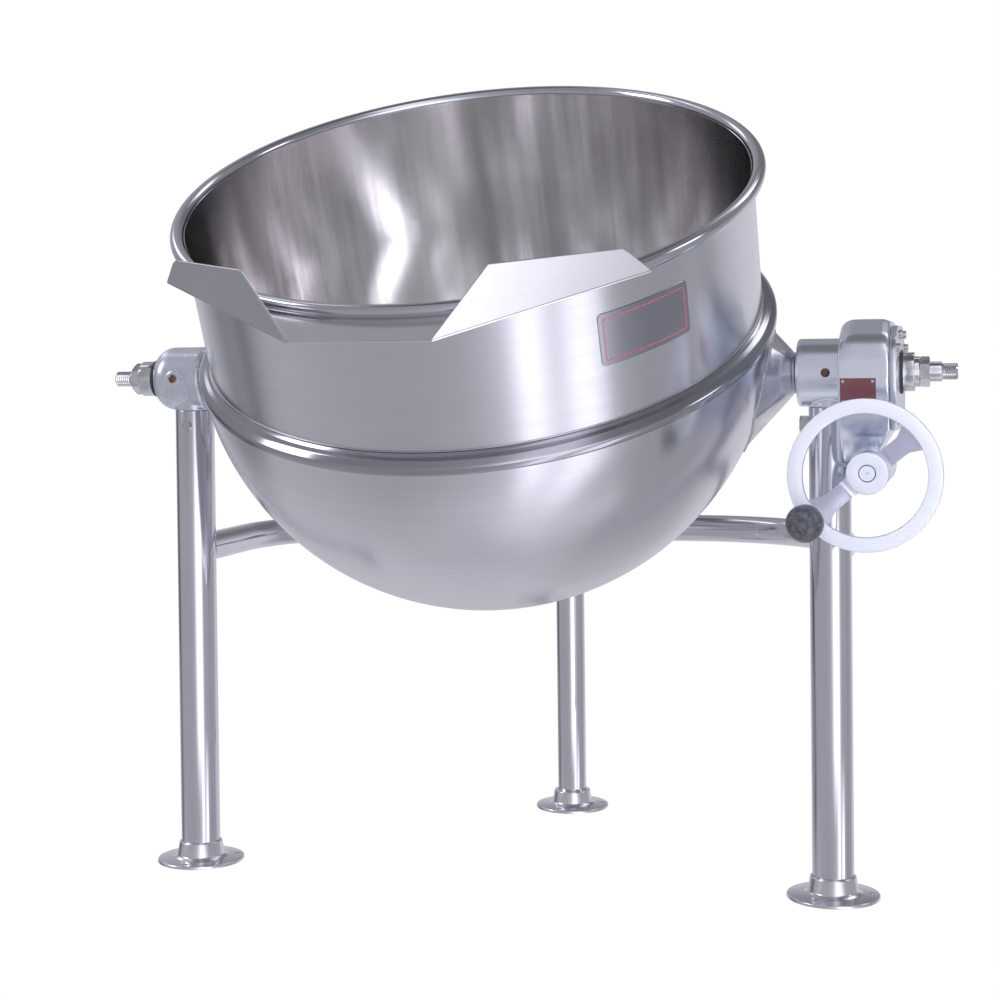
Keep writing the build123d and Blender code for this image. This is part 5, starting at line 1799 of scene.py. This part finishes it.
@dataclass(frozen=True)
class SoftBox:
    """A soft box seen only in reflections: where it stands, how large it is and how bright."""

    compass: float
    rise: float
    half_width: float
    half_height: float
    level: float
    edge: float = 4.0

    def mask(self, sheet: Sheet, compass: bpy.types.NodeSocket,
             rise: bpy.types.NodeSocket) -> bpy.types.NodeSocket:
        """Wire the box's mask.

        Args:
            sheet: The world's tree.
            compass: Angle from the back, as a share of a whole turn.
            rise: Angle above the horizon, in radians.

        Returns:
            One inside the box, falling to nothing over its edge.
        """
        sides = []
        for angle, middle, half, unit in ((compass, self.compass / 360.0 + 0.5, self.half_width, 1.0 / 360.0),
                                          (rise, math.radians(self.rise), self.half_height, math.pi / 180.0)):
            away = sheet.math("ABSOLUTE", sheet.math("SUBTRACT", angle, middle))
            sides.append(sheet.span(away, (half + self.edge) * unit, half * unit))
        return sheet.math("MULTIPLY", *sides)


SOFT_BOXES: Sequence[SoftBox] = (
    SoftBox(0.0, 82.0, 400.0, 12.0, 0.16), SoftBox(-66.0, 32.0, 8.0, 13.0, 5.0, 3.0),
    SoftBox(90.0, 28.0, 5.0, 4.0, 3.5), SoftBox(-104.0, 57.0, 4.0, 9.0, 2.0),
    SoftBox(146.0, 49.0, 7.0, 5.0, 2.6), SoftBox(-126.0, 37.0, 6.0, 5.0, 1.8),
    SoftBox(164.0, 56.0, 7.0, 5.0, 1.2), SoftBox(-112.0, -14.5, 3.5, 3.5, 0.36, 3.0),
    SoftBox(110.0, -60.0, 7.0, 5.0, 0.95, 6.0))


WHITE = (1.0, 1.0, 1.0, 1.0)


@dataclass
class Studio:
    """Floor, lights, world and camera."""

    eye: Spot = (629.0, -2335.7, 660.1)
    yaw: float = 14.57
    pitch: float = -1.10
    roll: float = -0.0112
    lens: float = 68.21
    shift: Point = (-0.0096, -0.1019)
    room_strength: float = 6.0
    soft_strength: float = 0.55
    aim: Spot = (0.0, 0.0, 0.55)

    def build(self) -> None:
        """Set the scene."""
        bpy.context.scene.view_settings.view_transform = "Standard"
        self.camera()
        self.floor()
        self.world()
        self.lights()

    def camera(self) -> None:
        """Set the camera at its place, with its lens and shift."""
        yaw, pitch = math.radians(self.yaw), math.radians(self.pitch)
        ahead = Vector((-math.sin(yaw) * math.cos(pitch), math.cos(yaw) * math.cos(pitch), math.sin(pitch)))
        level = Vector((math.cos(yaw), math.sin(yaw), 0.0))
        upward = level.cross(ahead)
        right = level * math.cos(self.roll) + upward * math.sin(self.roll)
        up = upward * math.cos(self.roll) - level * math.sin(self.roll)
        bpy.ops.object.camera_add()
        camera = bpy.context.object
        camera.name = "main_camera"
        camera.data.sensor_width = 36.0
        camera.data.lens = self.lens
        camera.data.shift_x, camera.data.shift_y = self.shift
        camera.data.clip_start = 0.01
        camera.matrix_world = by_axes(STAND @ Vector(self.eye), right, up, -ahead)
        bpy.context.scene.camera = camera

    def floor(self) -> None:
        """Pale floor that shows white to the camera and is hidden from reflections."""
        Bench.clear()
        bpy.ops.mesh.primitive_plane_add(size=40.0, location=(0.0, 0.0, -0.0005))
        floor = Bench.named("studio_floor")
        material = bpy.data.materials.new("studio_floor")
        material.use_nodes = True
        sheet = Sheet(material.node_tree)
        matt = sheet.add("BsdfDiffuse")
        matt.inputs["Color"].default_value = (0.80, 0.80, 0.80, 1.0)
        glow = sheet.add("Emission", Strength=1.0)
        glow.inputs["Color"].default_value = WHITE
        output = sheet.add("OutputMaterial")
        sheet.wire(self.by_ray(sheet, "Is Camera Ray", matt, glow).outputs[0], output.inputs[0])
        floor.data.materials.append(material)
        floor.visible_glossy = False

    def world(self) -> None:
        """White to the camera; to reflections, a room told apart by compass angle and height."""
        world = bpy.data.worlds.new("studio_world")
        bpy.context.scene.world = world
        world.use_nodes = True
        sheet = Sheet(world.node_tree)
        split = sheet.add("SeparateXYZ")
        sheet.wire(sheet.add("TexCoord").outputs["Generated"], split.inputs[0])
        height = split.outputs[2]
        back = sheet.math("MULTIPLY", split.outputs[1], -1.0)
        turn = sheet.math("ARCTAN2", split.outputs[0], back)
        compass = sheet.math("ADD", sheet.math("DIVIDE", turn, 2.0 * math.pi), 0.5)
        room = self.ramp(sheet, compass, LEVEL_ROOM)
        for stops, start, end in ZONES:
            room = sheet.blend(sheet.span(height, start, end), room, self.ramp(sheet, compass, stops))
        rise = sheet.math("ARCSINE", height)
        for box in SOFT_BOXES:
            room = sheet.blend(box.mask(sheet, compass, rise), room, self.tint(box.level))
        seen = sheet.add("Background", Strength=self.room_strength)
        sheet.wire(room, seen.inputs["Color"])
        soft = sheet.add("Background", Strength=self.soft_strength)
        soft.inputs["Color"].default_value = (0.95, 0.96, 1.0, 1.0)
        white = sheet.add("Background", Strength=1.0)
        white.inputs["Color"].default_value = WHITE
        inner = self.by_ray(sheet, "Is Glossy Ray", soft, seen)
        outer = self.by_ray(sheet, "Is Camera Ray", inner, white)
        output = sheet.add("OutputWorld")
        sheet.wire(outer.outputs[0], output.inputs[0])

    @staticmethod
    def by_ray(sheet: Sheet, ray: str, others: bpy.types.Node, chosen: bpy.types.Node) -> bpy.types.Node:
        """Show one shader to one kind of ray and another to the rest.

        Args:
            sheet: The tree.
            ray: Light Path output that tells the kind.
            others: Shader for the other rays.
            chosen: Shader for this kind.

        Returns:
            The mixing node.
        """
        path = sheet.add("LightPath")
        mixer = sheet.add("MixShader")
        sheet.wire(path.outputs[ray], mixer.inputs[0])
        sheet.wire(others.outputs[0], mixer.inputs[1])
        sheet.wire(chosen.outputs[0], mixer.inputs[2])
        return mixer

    def ramp(self, sheet: Sheet, compass: bpy.types.NodeSocket,
             stops: Sequence[Point]) -> bpy.types.NodeSocket:
        """Light level round the room.

        Args:
            sheet: The world's tree.
            compass: Angle from the back, as a share of a whole turn.
            stops: Rows of (degrees from the front towards +X, level).

        Returns:
            The level as a tinted colour.
        """
        node = sheet.add("ValToRGB")
        ramp = node.color_ramp
        ramp.interpolation = "LINEAR"
        while len(ramp.elements) > 1:
            ramp.elements.remove(ramp.elements[-1])
        for number, (degrees, level) in enumerate(stops):
            place = degrees / 360.0 + 0.5
            stop = ramp.elements[0] if number == 0 else ramp.elements.new(place)
            stop.position = place
            stop.color = self.tint(level)
        sheet.wire(compass, node.inputs[0])
        return node.outputs[0]

    def tint(self, level: float) -> tuple[float, float, float, float]:
        """Cool white of a light level, as a share of the room's strength."""
        shade = level / self.room_strength
        return shade * 0.97, shade * 0.97, shade * 1.06, 1.0

    def lights(self) -> None:
        """Soft boxes: key from the right front, fill from the left, one overhead."""
        for name, spot, size, power in (
                ("key_box", (1.6, -2.6, 1.9), (0.5, 2.2), 60.0),
                ("fill_box", (-2.4, -1.8, 1.6), (1.2, 1.8), 35.0),
                ("top_box", (0.0, 0.2, 3.0), (2.0, 2.0), 50.0)):
            bpy.ops.object.light_add(type="AREA", location=spot)
            light = bpy.context.object
            light.name = name
            light.data.shape = "RECTANGLE"
            light.data.size, light.data.size_y = size
            light.data.energy = power
            light.visible_glossy = False
            line = Vector(self.aim) - Vector(spot)
            light.rotation_euler = line.to_track_quat("-Z", "Y").to_euler()


def main() -> None:
    """Build every sub-assembly in order."""
    logging.basicConfig(level=logging.INFO, format="%(message)s")
    Studio().build()
    Bowl().build()
    PourLip().build()
    Gussets().build()
    Badge().build()
    TubeStand().build()
    Bearings().build()
    Gearbox().build()
    Handwheel().build()
    Union("inlet_union", 1, Body.INLET, 513.6, ((527.5, 23.5), (533.5, 18.5), (559.4, 12.0)),
          (533.5, 545.3, 32.0), (559.4, 578.0, 10.2)).build()
    Union("outlet_union", -1, Body.OUTLET, 464.6, ((482.8, 23.0), (499.0, 12.0)),
          (482.8, 494.5, 36.0), (499.0, 521.7, 10.1)).build()
    Dressing.build()


if __name__ == "__main__":
    main()
